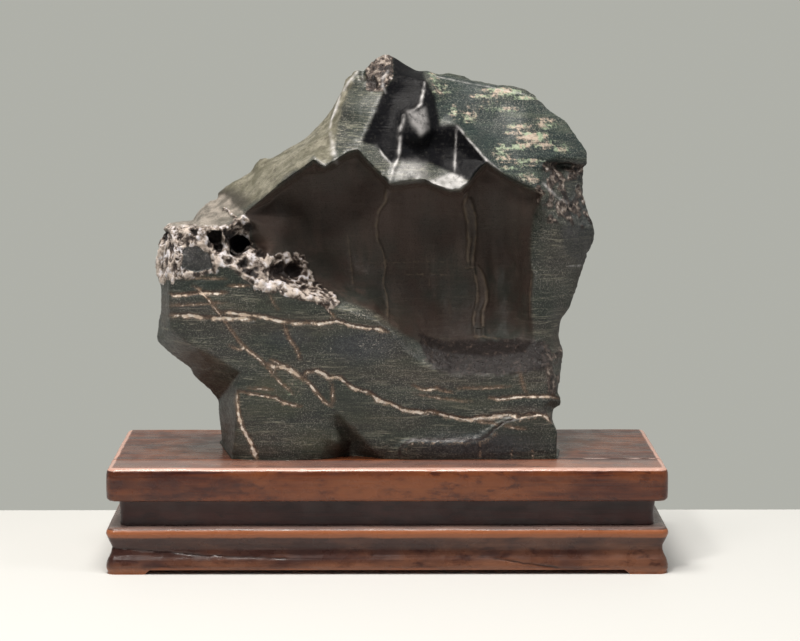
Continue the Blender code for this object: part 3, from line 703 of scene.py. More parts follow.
SPECKS = [(-22, 184, 20, 7, 1.0), (-12, 161, 16, 9, 0.7), (118, 142, 9, 18, 0.9), (62, 93, 60, 4, 0.6),
          (-70, 86, 14, 9, 0.6), (18, 82, 10, 7, 0.7), (-40, 160, 60, 20, 0.25), (100, 97, 24, 8, 0.5),
          (122, 262, 18, 22, 0.8), (-124, 160, 24, 10, 0.3), (0, 358, 20, 10, 0.6), (-130, 266, 10, 6, 0.6),
          (-100, 275, 14, 12, 0.7), (60, 346, 40, 5, 0.4)]

# Pale patches of the banded face: (across, height, half length, half height, strength) in mm.
BLOOMS = [(84, 339, 14, 2.6, 1.0), (104, 335, 12, 2.0, 0.9), (72, 336, 10, 2.0, 0.8), (48, 325, 4, 5, 0.7),
          (59, 323, 7, 5, 0.7), (94, 315, 10, 1.6, 0.7), (115, 317, 8, 3.5, 0.8), (91, 311, 7, 1.5, 0.6),
          (105, 307, 11, 4.0, 1.0), (113, 302, 9, 3.0, 0.9), (97, 301, 9, 3.0, 0.7), (83, 297, 7, 6.0, 0.6),
          (100, 290, 13, 2.4, 0.8), (100, 279, 9, 3.4, 0.8), (88, 288, 8, 3.0, 0.6), (126, 299, 8, 3.0, 0.6),
          (30, 349, 8, 4, 0.7), (38, 340, 8, 6, 0.5), (78, 328, 20, 4, 0.3)]

# A faint cream patch of the belly.
CREAM_ZONE = [(-73, 136), (-60, 137), (-59, 118), (-66, 117), (-72, 124)]


def ovals(flat, places):
    """The strongest of some soft ovals at each flat point."""
    total = np.zeros(len(flat))
    for across, up, half_length, half_height, strength in places:
        reach = np.hypot((flat[:, 0] - across) / half_length, (flat[:, 1] - up) / half_height)
        total = np.maximum(total, strength * (1 - rise(reach, 0.25, 1.1)))
    return total


def strata(spots):
    """Points as (across, height on the front face): the sheets of the stone dip toward its back."""
    return np.stack([spots[:, 0], spots[:, 2] + DIP * (spots[:, 1] - FRONT_Y)], axis=1)


def rock_fineness(middle):
    """The longest edge wanted at a place: short in the crust and along the veins, long at the back."""
    seen = middle[:, [0, 2]]
    front = 1 - rise(middle[:, 1], 4, 14)
    longest = 5.4 - 2.4 * front
    crusted = np.maximum.reduce([within(seen, shape, 4) for shape in (CRUST, CRAG)]) * front
    rough = np.maximum.reduce([within(seen, shape, 4) for shape in (RIGHT_CRUMB, ROUGH_FLOOR)]) * front
    longest = np.minimum(longest, 5.4 - 3.7 * crusted)
    longest = np.minimum(longest, 5.4 - 3.1 * rough)
    for lines in (VEINS, HOLLOW_LINES, SUMMIT_LINES):
        flat = strata(middle) if lines is VEINS else seen
        for line, half_width, _, _ in lines.values():
            beside = to_line(flat, line, 4)[0] < 1.2 + half_width
            longest = np.where(beside, np.minimum(longest, 3.2 - 1.7 * front), longest)
    return longest


def add_lines(lines, flat, shown, wander, height):
    """Works lines into the surface as grooves or ribs, and returns how pale and rusty they make it, and a
    painted shadow line above the palest.
    """
    pale, rust, dark = (np.zeros(len(flat)) for _ in range(3))
    for line, half_width, paleness, groove in lines.values():
        away, along, above, run = to_line(flat, line, 6)
        close = away < 6
        far, up = away[close], above[close]
        width = half_width * np.clip(1 + 1.3 * wander[close, 0], 0.4, 1.7)
        ends = 0.45 + 0.55 * rise(np.minimum(along[close], run - along[close]), -1, 6)
        broken = 0.50 + 0.50 * rise(wander[close, 2], -0.5, 0.0)
        strength = ends * broken * (0.55 + 0.45 * paleness) * shown[close]
        core = np.clip(1 - np.abs(far + 0.7 * wander[close, 1]) / (2.7 * width), 0, 1)
        pale[close] = np.maximum(pale[close], core * strength)
        tint = (1 - rise(far, 0.5, 3.0)) * rise(up, -1.2, 0.4) * paleness * ends * shown[close]
        rust[close] = np.maximum(rust[close], tint)
        # painted shadow: a dark line along the undercut just above each pale vein
        crack = (1 - rise(np.abs(up - 1.5 * width), 0.3, 1.1)) * (far < 2.8) * rise(paleness, 0.6, 1.0)
        dark[close] = np.maximum(dark[close], crack * ends * shown[close])
        height[close] -= groove * (1 - rise(far, 0.3, 1.5 * half_width + 0.7)) * shown[close]
    return pale, rust, dark


def add_glints(lines, flat, shown, wander, height):
    """Works soft ridges into the surface, and returns how bright the white painted highlight along them is.
    """
    bright = np.zeros(len(flat))
    for line, half_width, paleness, groove in lines.values():
        away, along, _, run = to_line(flat, line, 7)
        close = away < 7
        width = half_width * np.clip(1 + 1.3 * wander[close, 2], 0.4, 2.2)
        ends = 0.3 + 0.7 * rise(np.minimum(along[close], run - along[close]), -1, 7)
        glow = 0.85 * np.exp(-(away[close] / (0.8 * width)) ** 2) * ends * paleness * shown[close]
        glow *= np.clip(0.75 + 1.6 * wander[close, 0], 0.05, 1.2)
        bright[close] = np.maximum(bright[close], glow)
        height[close] -= groove * (1 - rise(away[close], 0.3, 1.5 * half_width + 0.7)) * shown[close]
    return bright


def crust_form(spots, seen, crust, crag):
    """The height of the broken crust, and its tone from 0 in its pits to 1 on its walls: pale walls, with
    painted shade in pits and hollows and painted light on ridges.
    """
    folded = rise(-seen[:, 0], 145, 152)[:, None]
    shape = spots / (folded * [3.8, 3.8, 15.0] + (1 - folded) * [6.0, 6.0, 7.0])
    ridge = ridges(shape, 3, 7)
    glassy = ridges(spots / 4.5, 2, 8)
    walls = np.zeros(len(spots))
    paleness = np.zeros(len(spots))
    closest = np.zeros(len(spots))
    front = 1 - rise(spots[:, 1], 6, 16)
    ragged = seen + 1.1 * np.stack([noise(spots / 3, 31), noise(spots / 3, 32)], axis=1)
    for line, half_width, pale in WALLS:
        away = to_line(ragged, line, 12)[0]
        wall = (1 - rise(away / half_width, 0.1, 1.3)) * front
        walls = np.maximum(walls, wall * min(half_width, 2.0))
        paleness = np.maximum(paleness, wall * pale)
        closest = np.maximum(closest, 1 - rise(away, 2, 11))
    pit = np.zeros(len(spots))
    depth = np.zeros(len(spots))
    for across, up, reach, deep in PITS:
        shifted = seen + 0.3 * reach * np.stack([noise(spots / 4, 41), noise(spots / 4, 42)], axis=1)
        hole = near(shifted, (across, up), reach) * front
        pit = np.maximum(pit, hole)
        depth = np.maximum(depth, hole * deep)
    pit *= 1 - paleness
    whole = np.maximum(closest, rise(-seen[:, 0], 92, 102))
    broken = crust * rise(whole + 0.8 * layers(spots / 8, 2, 33), 0.25, 0.75)
    height = broken * (2.6 * (ridge - 0.62) + 0.7 * (glassy - 0.5))
    height = height + crag * (1.6 * (ridge - 0.5)) + 1.1 * walls
    height -= depth * (1 - 0.7 * paleness)
    patch = 0.60 * layers(spots / 9, 2, 35)
    # The tone follows the ridges that raise the crust: painted light on the ridges and painted shade in the
    # hollows, over random patches.
    tone = np.clip(0.14 + patch + 0.62 * rise(ridge + 0.3 * (glassy - 0.5), 0.42, 0.92), 0, 1)
    wall_tone = paleness * (0.42 + 0.45 * rise(glassy + ridge, 0.8, 1.5) + 0.5 * patch)
    # The pits get painted shade; the pale walls are the stone's own colour.
    tone = np.maximum(tone * (1 - 0.9 * pit), wall_tone)
    return height, tone, np.maximum(broken, rise(paleness, 0.1, 0.5)), pit


# Below these heights the rock sits in its socket: its points stay put, and its relief fades in.
SEATED_MM = 77.5
RELIEF_MM = (77.2, 80)


def rock_piece():
    spots, triangles = solid_arrays("rock")
    low, high = spots.min(axis=0), spots.max(axis=0)
    creases = sharp_edges(spots, triangles, 34)
    spots, triangles, creases = refine(spots, triangles, creases, rock_fineness, 1.5)
    seated = spots[:, 2] < SEATED_MM
    spots = round_off(spots, triangles, creases, 18, seated)
    spots = relax(spots, triangles, creases[:0], 2, seated)
    normals = vertex_normals(spots, triangles)
    count = len(spots)
    flat = strata(spots)
    seen = spots[:, [0, 2]]
    front = 1 - rise(spots[:, 1], 6, 16)
    ragged = seen + 2.2 * np.stack([layers(spots / 7, 2, 51), layers(spots / 7, 2, 52)], axis=1)

    oval = within(ragged, OVAL, 3) * front
    crust = within(ragged, CRUST, 6) * front * (1 - oval)
    hollow = within(seen, HOLLOW, 4) * front * rise(spots[:, 1], -50, -42)
    slope = within(ragged, SLOPE, 3) * front
    ledge = within(ragged, LEDGE, 4) * front
    summit = within(seen, SUMMIT, 3) * front
    crag = within(ragged, CRAG, 4)
    face = within(seen, FACE, 4) * front
    side = rise(-spots[:, 1], -22, -8)
    crumb = np.maximum(within(ragged, RIGHT_CRUMB, 9), 0.8 * within(ragged, RIGHT_EDGE, 8)) * side
    crumb *= rise(layers(spots / 9, 2, 53), -0.35, 0.15)
    rough = within(ragged, ROUGH_FLOOR, 10) * front
    nose = within(ragged, RIGHT_NOSE, 4) * side
    lower = (1 - hollow) * (1 - slope) * (1 - summit) * (1 - ledge) * (1 - crust)

    near_edge = np.zeros(count)
    near_edge[creases.reshape(-1)] = 1
    edges = edge_table(triangles)[0]
    for _ in range(3):
        spread = np.repeat(near_edge[:, None], 3, axis=1)
        near_edge = np.maximum(near_edge, neighbour_mean(spread, edges, count)[0][:, 0] * 0.8)

    height = 0.45 * layers(spots / 16, 3, 1) + 0.12 * layers(spots / 3.5, 2, 2)
    level = flat[:, 1] + 1.4 * noise(spots / 45, 3)
    sheets = np.stack([spots[:, 0] / 60, spots[:, 1] / 60, level / 3.2], axis=1)
    height += 0.30 * lower * layers(sheets, 2, 4)
    chip = rise(layers(spots / 6, 2, 6), 0.0, 0.5)
    height -= near_edge * (0.2 + 0.9 * chip) * (1 - hollow)
    height += 1.3 * crumb * (ridges(spots / 7, 3, 9) - 0.5) + 1.2 * rough * (ridges(spots / 6, 3, 10) - 0.55)
    height += 0.7 * ledge * layers(spots / 9, 2, 11)
    crust_height, tone, broken, pit = crust_form(spots, seen, crust, crag)
    height += crust_height
    flutes = np.stack([spots[:, 0] / 7, spots[:, 1] / 30, spots[:, 2] / 70], axis=1)
    height += hollow * 0.6 * layers(flutes, 2, 12)
    craters = np.minimum(cells(spots / 3.6, 13), 0.32) / 0.32 - 1
    pitted = rise(noise(spots / 14, 14) + 0.35 * ovals(seen, SPECKS), 0.0, 0.35)
    height += 0.6 * slope * craters * pitted
    banded = np.stack([spots[:, 0] / 12, spots[:, 1] / 12, (spots[:, 2] + 0.13 * spots[:, 0]) / 2.4], axis=1)
    height -= 0.5 * face * rise(layers(banded, 2, 15), 0.1, 0.6)
    height += 0.8 * (1 - front) * layers(spots / 9, 3, 16)
    height -= 3.0 * (1 - front) * rise(layers(spots / 42, 3, 17), -0.1, 0.12)
    height -= 1.6 * (1 - front) * rise(layers(spots / 24, 2, 18), 0.05, 0.12)

    wander = np.stack([noise(spots / 5, 20), noise(spots / 2.4, 21), noise(spots / 8, 22)], axis=1)
    shown = (1 - 0.75 * hollow) * (1 - 0.6 * slope) * (1 - 0.7 * broken) * (1 - 0.6 * face)
    pale, rust, dark = add_lines(VEINS, flat, shown, wander, height)
    ribs = add_lines(HOLLOW_LINES, seen, hollow, wander, height)[0]
    gleam = add_glints(SUMMIT_LINES, seen, front, wander, height)

    # The lip's crack is a real groove, darkened with painted shadow.
    away, _, above, _ = to_line(seen, LIP_CRACK, 8)
    crack = (1 - rise(away, 0.4, 1.6)) * front
    height -= 0.7 * crack
    dark = np.maximum(dark, crack)
    edge = (1 - rise(np.abs(above + 2.6), 0.3, 2.4)) * (away < 6) * front
    pale = np.maximum(pale, edge * (0.40 + 0.9 * noise(spots / 2.2, 23)))
    for split in LIP_SPLITS:
        line = (1 - rise(to_line(seen, split, 3)[0], 0.2, 1.4)) * front
        height -= 0.4 * line
        pale = np.maximum(pale, 0.75 * line)

    # Painted highlights on the summit's glossy facets: a white lip, a crescent and a lit facet.
    for shape, strength, soft in ((LIP_HIGHLIGHT, 0.27, 9), (CRESCENT_HIGHLIGHT, 0.58, 2.5), (FACET_HIGHLIGHT, 0.42, 6)):
        patch = within(seen, shape, soft) * front
        gleam = np.maximum(gleam,
                           strength * patch * np.clip(0.85 + 0.9 * noise(spots / [4, 4, 8], 24), 0.2, 1))
    # The crag and the crumbly rubble are also lighter on their ridges and darker in their pits: painted
    # light and painted shade.
    tone = np.where(crag > 0.3, 0.05 + 0.45 * rise(ridges(spots / 6, 3, 26), 0.45, 0.95) * (1 - pit), tone)
    rubble = ridges(spots / 5, 3, 25)
    grainy = np.maximum(crumb, rough)
    tone = np.where(grainy > broken, (0.03 + 0.50 * crumb) * rise(rubble, 0.35, 0.95), tone)
    wide = [(x, z, 1.4 * long, 1.6 * high, share) for x, z, long, high, share in BLOOMS]
    bloom = ovals(seen + 0.13 * np.stack([0 * seen[:, 0], noise(spots / 6, 27)], axis=1), wide) * face
    bloom = np.maximum(bloom, 0.2 * within(ragged, CREAM_ZONE, 5) * front)

    height *= rise(spots[:, 2], *RELIEF_MM)
    spots = np.clip(spots + height[:, None] * normals, low, high)
    piece = mesh_object(
        "scholars_rock", spots, triangles, rock_look(), sharp=50,
        broken=np.maximum.reduce([broken, crag, 0.9 * crumb, 0.75 * rough]), tone=tone, pit=pit,
        pale=pale, rust=rust,
        dark=dark, hollow=hollow, lift=rise(spots[:, 2], 175, 265), ribs=ribs,
        summit=summit * (1 - crag), gleam=gleam, face=face, bloom=bloom,
        slope=slope, slope_dark=within(seen, SLOPE_DARK, 10) * front, ledge=ledge,
        oval=np.maximum(oval, 0.7 * nose),
        blue=ovals(ragged, BLUE) * front, olive=ovals(ragged, OLIVE) * front,
        brown=ovals(ragged, BROWN) * front,
        shade=np.maximum(within(ragged, POCKET, 4) * front, 0.5 * ovals(ragged, RIGHT_SHADE)),
        specks=ovals(ragged, SPECKS))
    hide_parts("rock")
    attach(piece, "root")


# ---------------------------------------------------------------- the rock: its material

def rock_look():
    g = Graph("dark_green_stone")
    plain = g.place()
    level = g.place((0.08, 0.08, 1), (9, 0, 0))
    speck = g.noise(plain, 1.2, 2.0)
    grit = g.noise(plain, 0.9, 3.0, 0.7)
    cloud = g.noise(plain, 38, 4.0)
    patchy = g.noise(plain, 9, 5.0, 0.6)
    fine = g.noise(plain, 2.6, 5.0, 0.68)

    def part(value, amount):
        """A noise from 0 to 1 as a shift from -amount/2 to amount/2."""
        return g.times(g.minus(value, 0.5), amount)

    def cover(share, under, colour, strength=1.0):
        if strength != 1.0:
            share = g.times(share, strength)
        return g.mix(share, under, colour)

    # plain stone: bedding, brown stains and grain
    broad = g.rise(g.noise(level, 8.0, 3.0, 0.6, 0.7), 0.38, 0.66)
    lines = g.rise(g.noise(level, 2.0, 4.0, 0.7, 0.9), 0.50, 0.70)
    hair = g.rise(g.noise(level, 1.0, 3.0, 0.6, 1.0), 0.58, 0.70)
    green = g.mix(g.rise(cloud, 0.35, 0.65), (0.009, 0.016, 0.012), (0.017, 0.019, 0.018))
    green = cover(broad, green, (0.034, 0.040, 0.030), 0.7)
    bedded = g.rise(g.noise(g.place((0.2, 0.2, 1), (9, 0, 0)), 12, 3.0), 0.36, 0.62)
    green = cover(g.times(lines, bedded), green, (0.16, 0.16, 0.12), 0.85)
    green = cover(g.times(hair, bedded), green, (0.30, 0.28, 0.215), 0.8)
    stain = g.plus(g.field("brown"), g.rise(g.noise(g.place((0.3, 0.3, 1)), 30, 3.0), 0.50, 0.70, 0.0, 0.6))
    green = cover(stain, green, g.mix(lines, (0.042, 0.032, 0.026), (0.105, 0.084, 0.064)), 0.85)
    green = cover(g.field("olive"), green, g.mix(lines, (0.058, 0.060, 0.036), (0.15, 0.135, 0.082)), 0.7)
    green = cover(g.field("blue"), green,
                  g.mix(g.rise(fine, 0.4, 0.7), (0.022, 0.026, 0.033), (0.060, 0.064, 0.072)), 0.85)
    salt_line = g.minus(0.69, g.times(g.field("specks"), 0.12))
    salt = g.rise(g.minus(speck, salt_line), 0.0, 0.07)

    green = cover(salt, green, (0.40, 0.37, 0.32), 0.6)

    # the banded face, greener, with torn pale blooms
    bands = g.rise(g.noise(level, 4.5, 4.0, 0.65), 0.46, 0.66)
    teal = g.mix(g.times(lines, patchy), (0.014, 0.023, 0.023), (0.080, 0.105, 0.085))
    teal = cover(g.times(bands, g.rise(cloud, 0.35, 0.6)), teal, (0.095, 0.110, 0.078), 0.45)
    teal = cover(g.rise(grit, 0.52, 0.70), teal, (0.15, 0.17, 0.145), 0.35)
    teal = cover(g.rise(g.noise(plain, 14, 3.0), 0.45, 0.62), teal, (0.022, 0.028, 0.027), 0.55)
    colour = g.mix(g.field("face"), green, teal)
    torn = g.plus(g.times(g.field("bloom"), 0.8), part(fine, 2.6))
    torn = g.plus(torn, part(g.noise(level, 2.2, 3.0), 1.6))
    torn = g.times(g.rise(torn, 0.20, 0.95), g.rise(g.field("bloom"), 0.01, 0.25))
    tints = g.mix(g.rise(patchy, 0.44, 0.54), (0.42, 0.33, 0.26), (0.27, 0.33, 0.22))
    colour = g.mix(torn, colour, g.mix(g.rise(grit, 0.55, 0.68), tints, (0.55, 0.53, 0.46)))

    # black facets of the summit; brown patina of the hollow, made darker as painted shade
    black = g.mix(g.rise(fine, 0.50, 0.75), (0.004, 0.004, 0.005), (0.022, 0.021, 0.020))
    colour = g.mix(g.field("summit"), colour, black)
    patina_and_shade = g.mix(g.rise(cloud, 0.40, 0.62), (0.040, 0.027, 0.022), (0.026, 0.028, 0.023))
    patina_and_shade = cover(lines, patina_and_shade, (0.060, 0.046, 0.038), 0.30)
    patina_and_shade = g.mix(g.rise(g.noise(g.place((1, 1, 0.2)), 12, 3.0), 0.52, 0.70), patina_and_shade, (0.058, 0.044, 0.036))
    patina_and_shade = cover(g.field("brown"), patina_and_shade, (0.060, 0.034, 0.024), 0.55)
    # painted light: the hollow lighter towards its top
    patina_and_shade = cover(g.field("lift"), patina_and_shade, (0.095, 0.068, 0.058), 0.55)
    colour = cover(g.field("hollow"), colour, patina_and_shade, 0.94)
    # painted shade in the pocket under the crust and on the right side
    colour = cover(g.field("shade"), colour, (0.012, 0.008, 0.007), 0.9)

    # waxy slope and the pale ledge
    wax = g.mix(g.rise(patchy, 0.35, 0.65), (0.090, 0.084, 0.055), (0.20, 0.185, 0.14))
    wax = cover(g.rise(g.noise(plain, 5, 4.0, 0.7), 0.50, 0.66), wax, (0.060, 0.052, 0.036), 0.7)
    wax = cover(g.rise(g.cells(plain, 2.6), 0.20, 0.06), wax, (0.035, 0.028, 0.020), 0.8)
    wax = cover(g.field("slope_dark"), wax, (0.030, 0.025, 0.019), 0.9)
    colour = g.mix(g.field("slope"), colour, wax)
    shelf = g.mix(g.rise(patchy, 0.35, 0.65), (0.10, 0.088, 0.072), (0.27, 0.235, 0.20))
    shelf = cover(g.rise(fine, 0.55, 0.66), shelf, (0.10, 0.085, 0.068), 0.6)
    colour = g.mix(g.field("ledge"), colour, shelf)
    smoky = g.mix(g.rise(patchy, 0.4, 0.7), (0.018, 0.019, 0.021), (0.055, 0.052, 0.055))
    colour = cover(g.field("oval"), colour, smoky, 0.85)

    # grain over the plain stone
    smooth = g.plus(g.plus(g.field("hollow"), g.field("summit")), g.field("slope"))
    colour = g.mix(g.rise(grit, 0.30, 0.50, 0.45, 0.0), colour, (0.004, 0.004, 0.004))
    grainy = g.times(g.rise(grit, 0.50, 0.70), g.rise(cloud, 0.30, 0.62, 0.22, 0.75))
    colour = cover(g.times(grainy, g.rise(smooth, 0.0, 0.9, 1.0, 0.0)), colour, (0.22, 0.21, 0.18))

    # broken stone, from black pits to white walls: pale walls, with painted shade in pits and hollows and
    # painted light on ridges
    tone = g.plus(g.plus(g.field("tone"), part(fine, 1.2)), part(g.noise(plain, 5, 3.0), 0.6))
    rubble = g.mix(g.rise(tone, 0.05, 0.30), (0.012, 0.008, 0.007), (0.062, 0.044, 0.036))
    rubble = g.mix(g.rise(tone, 0.30, 0.52), rubble, (0.26, 0.215, 0.18))
    frost = g.mix(g.rise(g.noise(plain, 7, 3.0), 0.42, 0.60), (0.52, 0.44, 0.38), (0.62, 0.59, 0.61))
    rubble = g.mix(g.rise(tone, 0.50, 0.78), rubble, frost)
    torn = g.plus(g.field("broken"), part(fine, 0.8))
    colour = g.mix(g.times(g.rise(torn, 0.32, 0.62), g.rise(g.field("broken"), 0.02, 0.2)), colour, rubble)
    # painted shade in the pits
    colour = cover(g.times(g.field("pit"), g.rise(patchy, 0.62, 0.42, 0.25, 1.0)), colour,
                   (0.014, 0.010, 0.009), 0.85)

    # cracks with painted shadow, rust and veins, and painted highlights
    colour = cover(g.field("rust"), colour,
                   g.mix(g.rise(fine, 0.4, 0.6), (0.050, 0.024, 0.015), (0.20, 0.105, 0.055)), 0.85)
    # painted shadow along the cracks
    colour = cover(g.field("dark"), colour, (0.014, 0.006, 0.005), 0.85)
    rib = g.rise(g.plus(g.field("ribs"), part(fine, 0.7)), 0.30, 0.75)
    colour = cover(rib, colour, (0.105, 0.080, 0.058), 0.75)
    smear = g.rise(g.plus(g.field("pale"), part(grit, 1.6)), 0.22, 0.75)
    smear = g.times(smear, g.rise(g.field("pale"), 0.02, 0.2))
    colour = cover(smear, colour, (0.20, 0.145, 0.105), 0.8)
    vein = g.rise(g.plus(g.field("pale"), part(fine, 1.1)), 0.62, 0.80)
    cream = g.mix(g.rise(g.noise(plain, 4, 2.0), 0.4, 0.6), (0.56, 0.44, 0.34), (0.74, 0.66, 0.58))
    colour = g.mix(g.times(vein, g.rise(g.field("pale"), 0.05, 0.25)), colour, cream)
    # painted highlight: white glints along the summit's ridges and on its glossy facets
    gleam = g.times(g.field("gleam"),
                    g.rise(g.noise(g.place((1, 1, 0.4)), 3.5, 4.0, 0.65), 0.30, 0.52, 0.35, 1.0))
    colour = g.mix(gleam, colour, (0.62, 0.60, 0.59))

    g.put(g.shader.inputs["Base Color"], colour)
    gloss = g.rise(fine, 0.3, 0.7, 0.28, 0.50)
    gloss = g.plus(gloss, g.times(g.field("broken"), -0.05))
    gloss = g.plus(gloss, g.times(g.field("hollow"), 0.10))
    g.put(g.shader.inputs["Roughness"], gloss)
    dull = g.plus(g.field("hollow"), g.plus(g.field("summit"), g.field("face")))
    dull = g.rise(dull, 0.0, 1.0, 0.42, 0.16)
    g.put(g.shader.inputs["Specular IOR Level"], g.minus(dull, g.times(g.field("summit"), 0.10)))
    grain = g.bump(fine, 0.35)
    grain = g.bump(g.noise(level, 1.8, 4.0, 0.7), 0.28, grain)
    rugged = g.times(g.noise(plain, 3.2, 6.0, 0.7), g.field("broken"))
    g.put(g.shader.inputs["Normal"], g.bump(rugged, 2.2, grain))
    return g.material


# ---------------------------------------------------------------- the stand

# Drying cracks of the base, as front lines (across, height) in mm.
BASE_CRACKS = [[(-200, 19), (-171, 17), (-140, 14), (-102, 12.5), (-72, 11.5)], [(76, 12), (100, 8),
               (122, 5)]]
# Painted shade (DARK) and painted light (LIT) on the fronts of the slab and the base, as (across, height,
# half length, half height, strength) in mm.
SLAB_DARK = [(-158, 61, 34, 13, 1.0), (-112, 66, 22, 8, 0.7), (-186, 68, 14, 9, 0.6),
             (150, 60, 34, 9, 0.5), (98, 68, 16, 6, 0.4)]
SLAB_LIT = [(-8, 62, 84, 15, 0.9), (70, 58, 46, 9, 0.6), (-70, 58, 30, 8, 0.5), (176, 70, 22, 7, 0.4)]
BASE_DARK = [(-150, 18, 44, 9, 0.7), (20, 20, 70, 7, 0.6), (130, 17, 40, 7, 0.6)]
BASE_LIT = [(-120, 7, 44, 6, 0.8), (-30, 5, 56, 6, 0.9), (74, 6, 50, 6, 0.9), (160, 8, 34, 7, 0.8)]
STAND_TOP_MM = 76.7
JOINT_Y_MM = -41.0
SLAB_RIM_MM = (196, 72.5)


def wood_look(name, deep, main, lit, edge, gloss):
    """Lacquered wood with grain along the stand and darker stains; its edges are worn bright with a painted
    highlight, and painted light, painted shade and a painted sheen lie in patches.
    """
    g = Graph(name)
    plain = g.place()
    along = g.place((0.035, 1, 1))
    figure = g.noise(along, 5.0, 6.0, 0.62, 0.6)
    fibre = g.noise(g.place((0.02, 1, 1)), 0.8, 3.0, 0.6)
    cloud = g.noise(g.place((0.45, 1, 1)), 34, 4.0, 0.6)
    stain = g.noise(g.place((0.5, 1, 1.2)), 10, 5.0, 0.68)
    colour = g.mix(g.rise(figure, 0.36, 0.66), deep, main)
    colour = g.mix(g.times(g.rise(cloud, 0.42, 0.66), 0.75), colour, lit)
    colour = g.mix(g.times(g.rise(stain, 0.52, 0.64), 0.8), colour, deep)
    pores = g.rise(fibre, 0.62, 0.72)
    colour = g.mix(g.times(pores, 0.6), colour, tuple(0.35 * part for part in deep))
    # painted light and painted shade in patches, broken up by the stain noise
    colour = g.mix(g.times(g.field("lit"), g.rise(stain, 0.70, 0.40, 0.2, 1.0)), colour, lit)
    colour = g.mix(g.times(g.field("dark"), g.rise(stain, 0.36, 0.56, 0.3, 1.0)), colour, deep)
    # worn edges with a painted highlight: the slab's rim, the waist's edges, the base's lip and feet
    worn_and_highlight = g.plus(g.field("worn_and_highlight"), g.times(g.minus(stain, 0.5), 0.8))
    colour = g.mix(g.times(g.rise(worn_and_highlight, 0.35, 0.85), 0.85), colour, edge)
    colour = g.mix(g.field("scratch"), colour, tuple(0.5 * part for part in deep))
    # dust, and a painted sheen on the front strip of the slab's top
    colour = g.mix(g.times(g.field("dust_and_sheen"), 0.85), colour, (0.40, 0.29, 0.255))
    g.put(g.shader.inputs["Base Color"], colour)
    rough = g.rise(g.noise(plain, 16, 4.0), 0.35, 0.65, gloss - 0.07, gloss + 0.10)
    g.put(g.shader.inputs["Roughness"], rough)
    g.shader.inputs["Specular IOR Level"].default_value = 0.36
    g.shader.inputs["Coat Weight"].default_value = 0.12
    g.shader.inputs["Coat Roughness"].default_value = 0.18
    grain = g.bump(fibre, 0.10)
    grain = g.bump(figure, 0.30, grain)
    g.put(g.shader.inputs["Normal"], g.bump(g.noise(plain, 22, 3.0), 0.8, grain))
    return g.material


def stand_piece(node, look, steps, rounds, wear):
    """A finer copy of a piece of the stand; wear gives its surface's height and its stored fields."""
    spots, triangles = sliced_arrays(node, steps)
    low, high = spots.min(axis=0), spots.max(axis=0)
    creases = sharp_edges(spots, triangles, 60)
    fixed = (spots[:, 2] < low[2] + 0.05) | (spots[:, 2] > high[2] - 0.02)
    spots = round_off(spots, triangles, creases, rounds, fixed)
    spots = np.clip(spots, low, high)
    normals = vertex_normals(spots, triangles)
    height, fields = wear(spots, normals)
    on_crease = np.zeros(len(spots), bool)
    on_crease[creases.reshape(-1)] = True
    height = np.where(on_crease, 0, height)
    spots = np.clip(spots + height[:, None] * normals, low, high)
    piece = mesh_object(node + "_wood", spots, triangles, look, sharp=50, **fields)
    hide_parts(node)
    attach(piece, "root")


def slab_wear(spots, normals):
    # The top rim: worn, with a painted highlight.
    rim = 1 - rise(STAND_TOP_MM - spots[:, 2], 0.8, 3.2)
    rim *= rise(np.maximum(np.abs(spots[:, 0]) - SLAB_RIM_MM[0],
                           np.abs(spots[:, 1]) - SLAB_RIM_MM[1]), -3, 1)
    height = -0.25 * (1 + noise(spots / [30, 30, 9], 60)) * (0.4 + rim)
    dents = rise(noise(spots / 7, 61), 0.28, 0.5)
    height -= 0.5 * dents * rim
    joint = 1 - rise(np.abs(spots[:, 1] - JOINT_Y_MM), 0.3, 1.3)
    dashes = rise(noise(spots / [9, 50, 50], 62), 0.0, 0.25) * rise(spots[:, 0], 122, 128)
    top = rise(spots[:, 2], STAND_TOP_MM - 1, STAND_TOP_MM - 0.3)
    # painted sheen along the front strip of the top
    strip = 0.30 * top * rise(-spots[:, 1], 44, 50)
    seen = spots[:, [0, 2]]
    return height, {"worn_and_highlight": rim, "dust_and_sheen": np.maximum(joint * dashes * top, strip),
                    "scratch": joint * (1 - dashes) * top * 0.7,
                    "dark": ovals(seen, SLAB_DARK), "lit": ovals(seen, SLAB_LIT)}


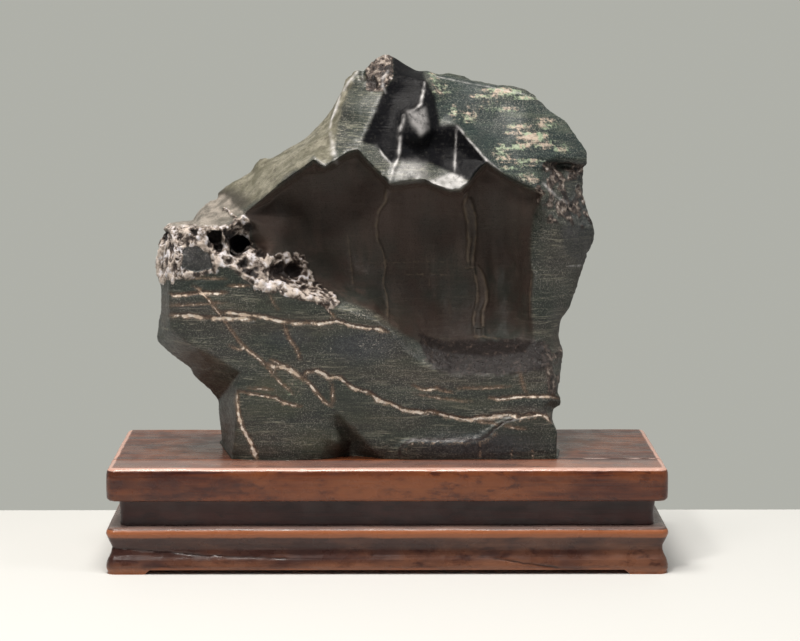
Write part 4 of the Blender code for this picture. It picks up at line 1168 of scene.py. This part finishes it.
def waist_wear(spots, normals):
    # The waist's top and bottom edges: worn, with a painted highlight.
    edge = rise(spots[:, 2], 49.5, 52) + 1 - rise(spots[:, 2], 34.5, 36.5)
    return -0.2 * (1 + noise(spots / 25, 63)), {"worn_and_highlight": 0.35 * edge, "dust_and_sheen": 0 * edge, "scratch": 0 * edge,
                                                "dark": 0 * edge, "lit": 0 * edge}


def base_wear(spots, normals):
    lip = rise(spots[:, 2], 24, 28) * (1 - rise(spots[:, 2], 31.5, 33.5))
    foot = 1 - rise(spots[:, 2], 2, 9)
    height = -0.25 * (1 + noise(spots / [28, 28, 9], 64)) * rise(spots[:, 2], 4, 8)
    crack = np.zeros(len(spots))
    front = rise(-spots[:, 1], 60, 68)
    wander = 1.2 * noise(spots / 9, 65)
    for line in BASE_CRACKS:
        away = to_line(np.stack([spots[:, 0], spots[:, 2] + wander], axis=1), line)[0]
        crack = np.maximum(crack, (1 - rise(away, 0.2, 0.9)) * front)
    height -= 0.5 * crack
    # The lip and the feet: worn, with a painted highlight.
    worn_and_highlight = np.maximum(0.9 * lip, 0.7 * foot)
    shelf = rise(spots[:, 2], 32.6, 33.6)
    seen = spots[:, [0, 2]]
    return height, {"worn_and_highlight": worn_and_highlight * (1 - shelf), "dust_and_sheen": 0.5 * shelf, "scratch": 0.85 * crack,
                    "dark": ovals(seen, BASE_DARK), "lit": ovals(seen, BASE_LIT)}


def add_stand():
    board = wood_look("board_lacquer", (0.040, 0.011, 0.008), (0.120, 0.031, 0.012), (0.200, 0.062, 0.022),
                      (0.560, 0.330, 0.260), 0.27)
    waist = wood_look("waist_lacquer", (0.013, 0.002, 0.002), (0.030, 0.005, 0.004), (0.044, 0.010, 0.007),
                      (0.060, 0.024, 0.016), 0.42)
    base = wood_look("base_lacquer", (0.034, 0.012, 0.009), (0.062, 0.026, 0.020), (0.170, 0.070, 0.038),
                     (0.320, 0.105, 0.040), 0.30)
    stand_piece("stand_top_front_board", board, (3.1, 3.1, 2.0), 8, slab_wear)
    stand_piece("stand_top_back_board", board, (3.1, 3.1, 2.0), 8, slab_wear)
    stand_piece("stand_waist", waist, (5.1, 5.1, 3.0), 4, waist_wear)
    stand_piece("stand_base", base, (3.1, 3.1, 1.6), 8, base_wear)


# ---------------------------------------------------------------- the whole

add_camera()
add_surroundings()
rock_piece()
add_stand()
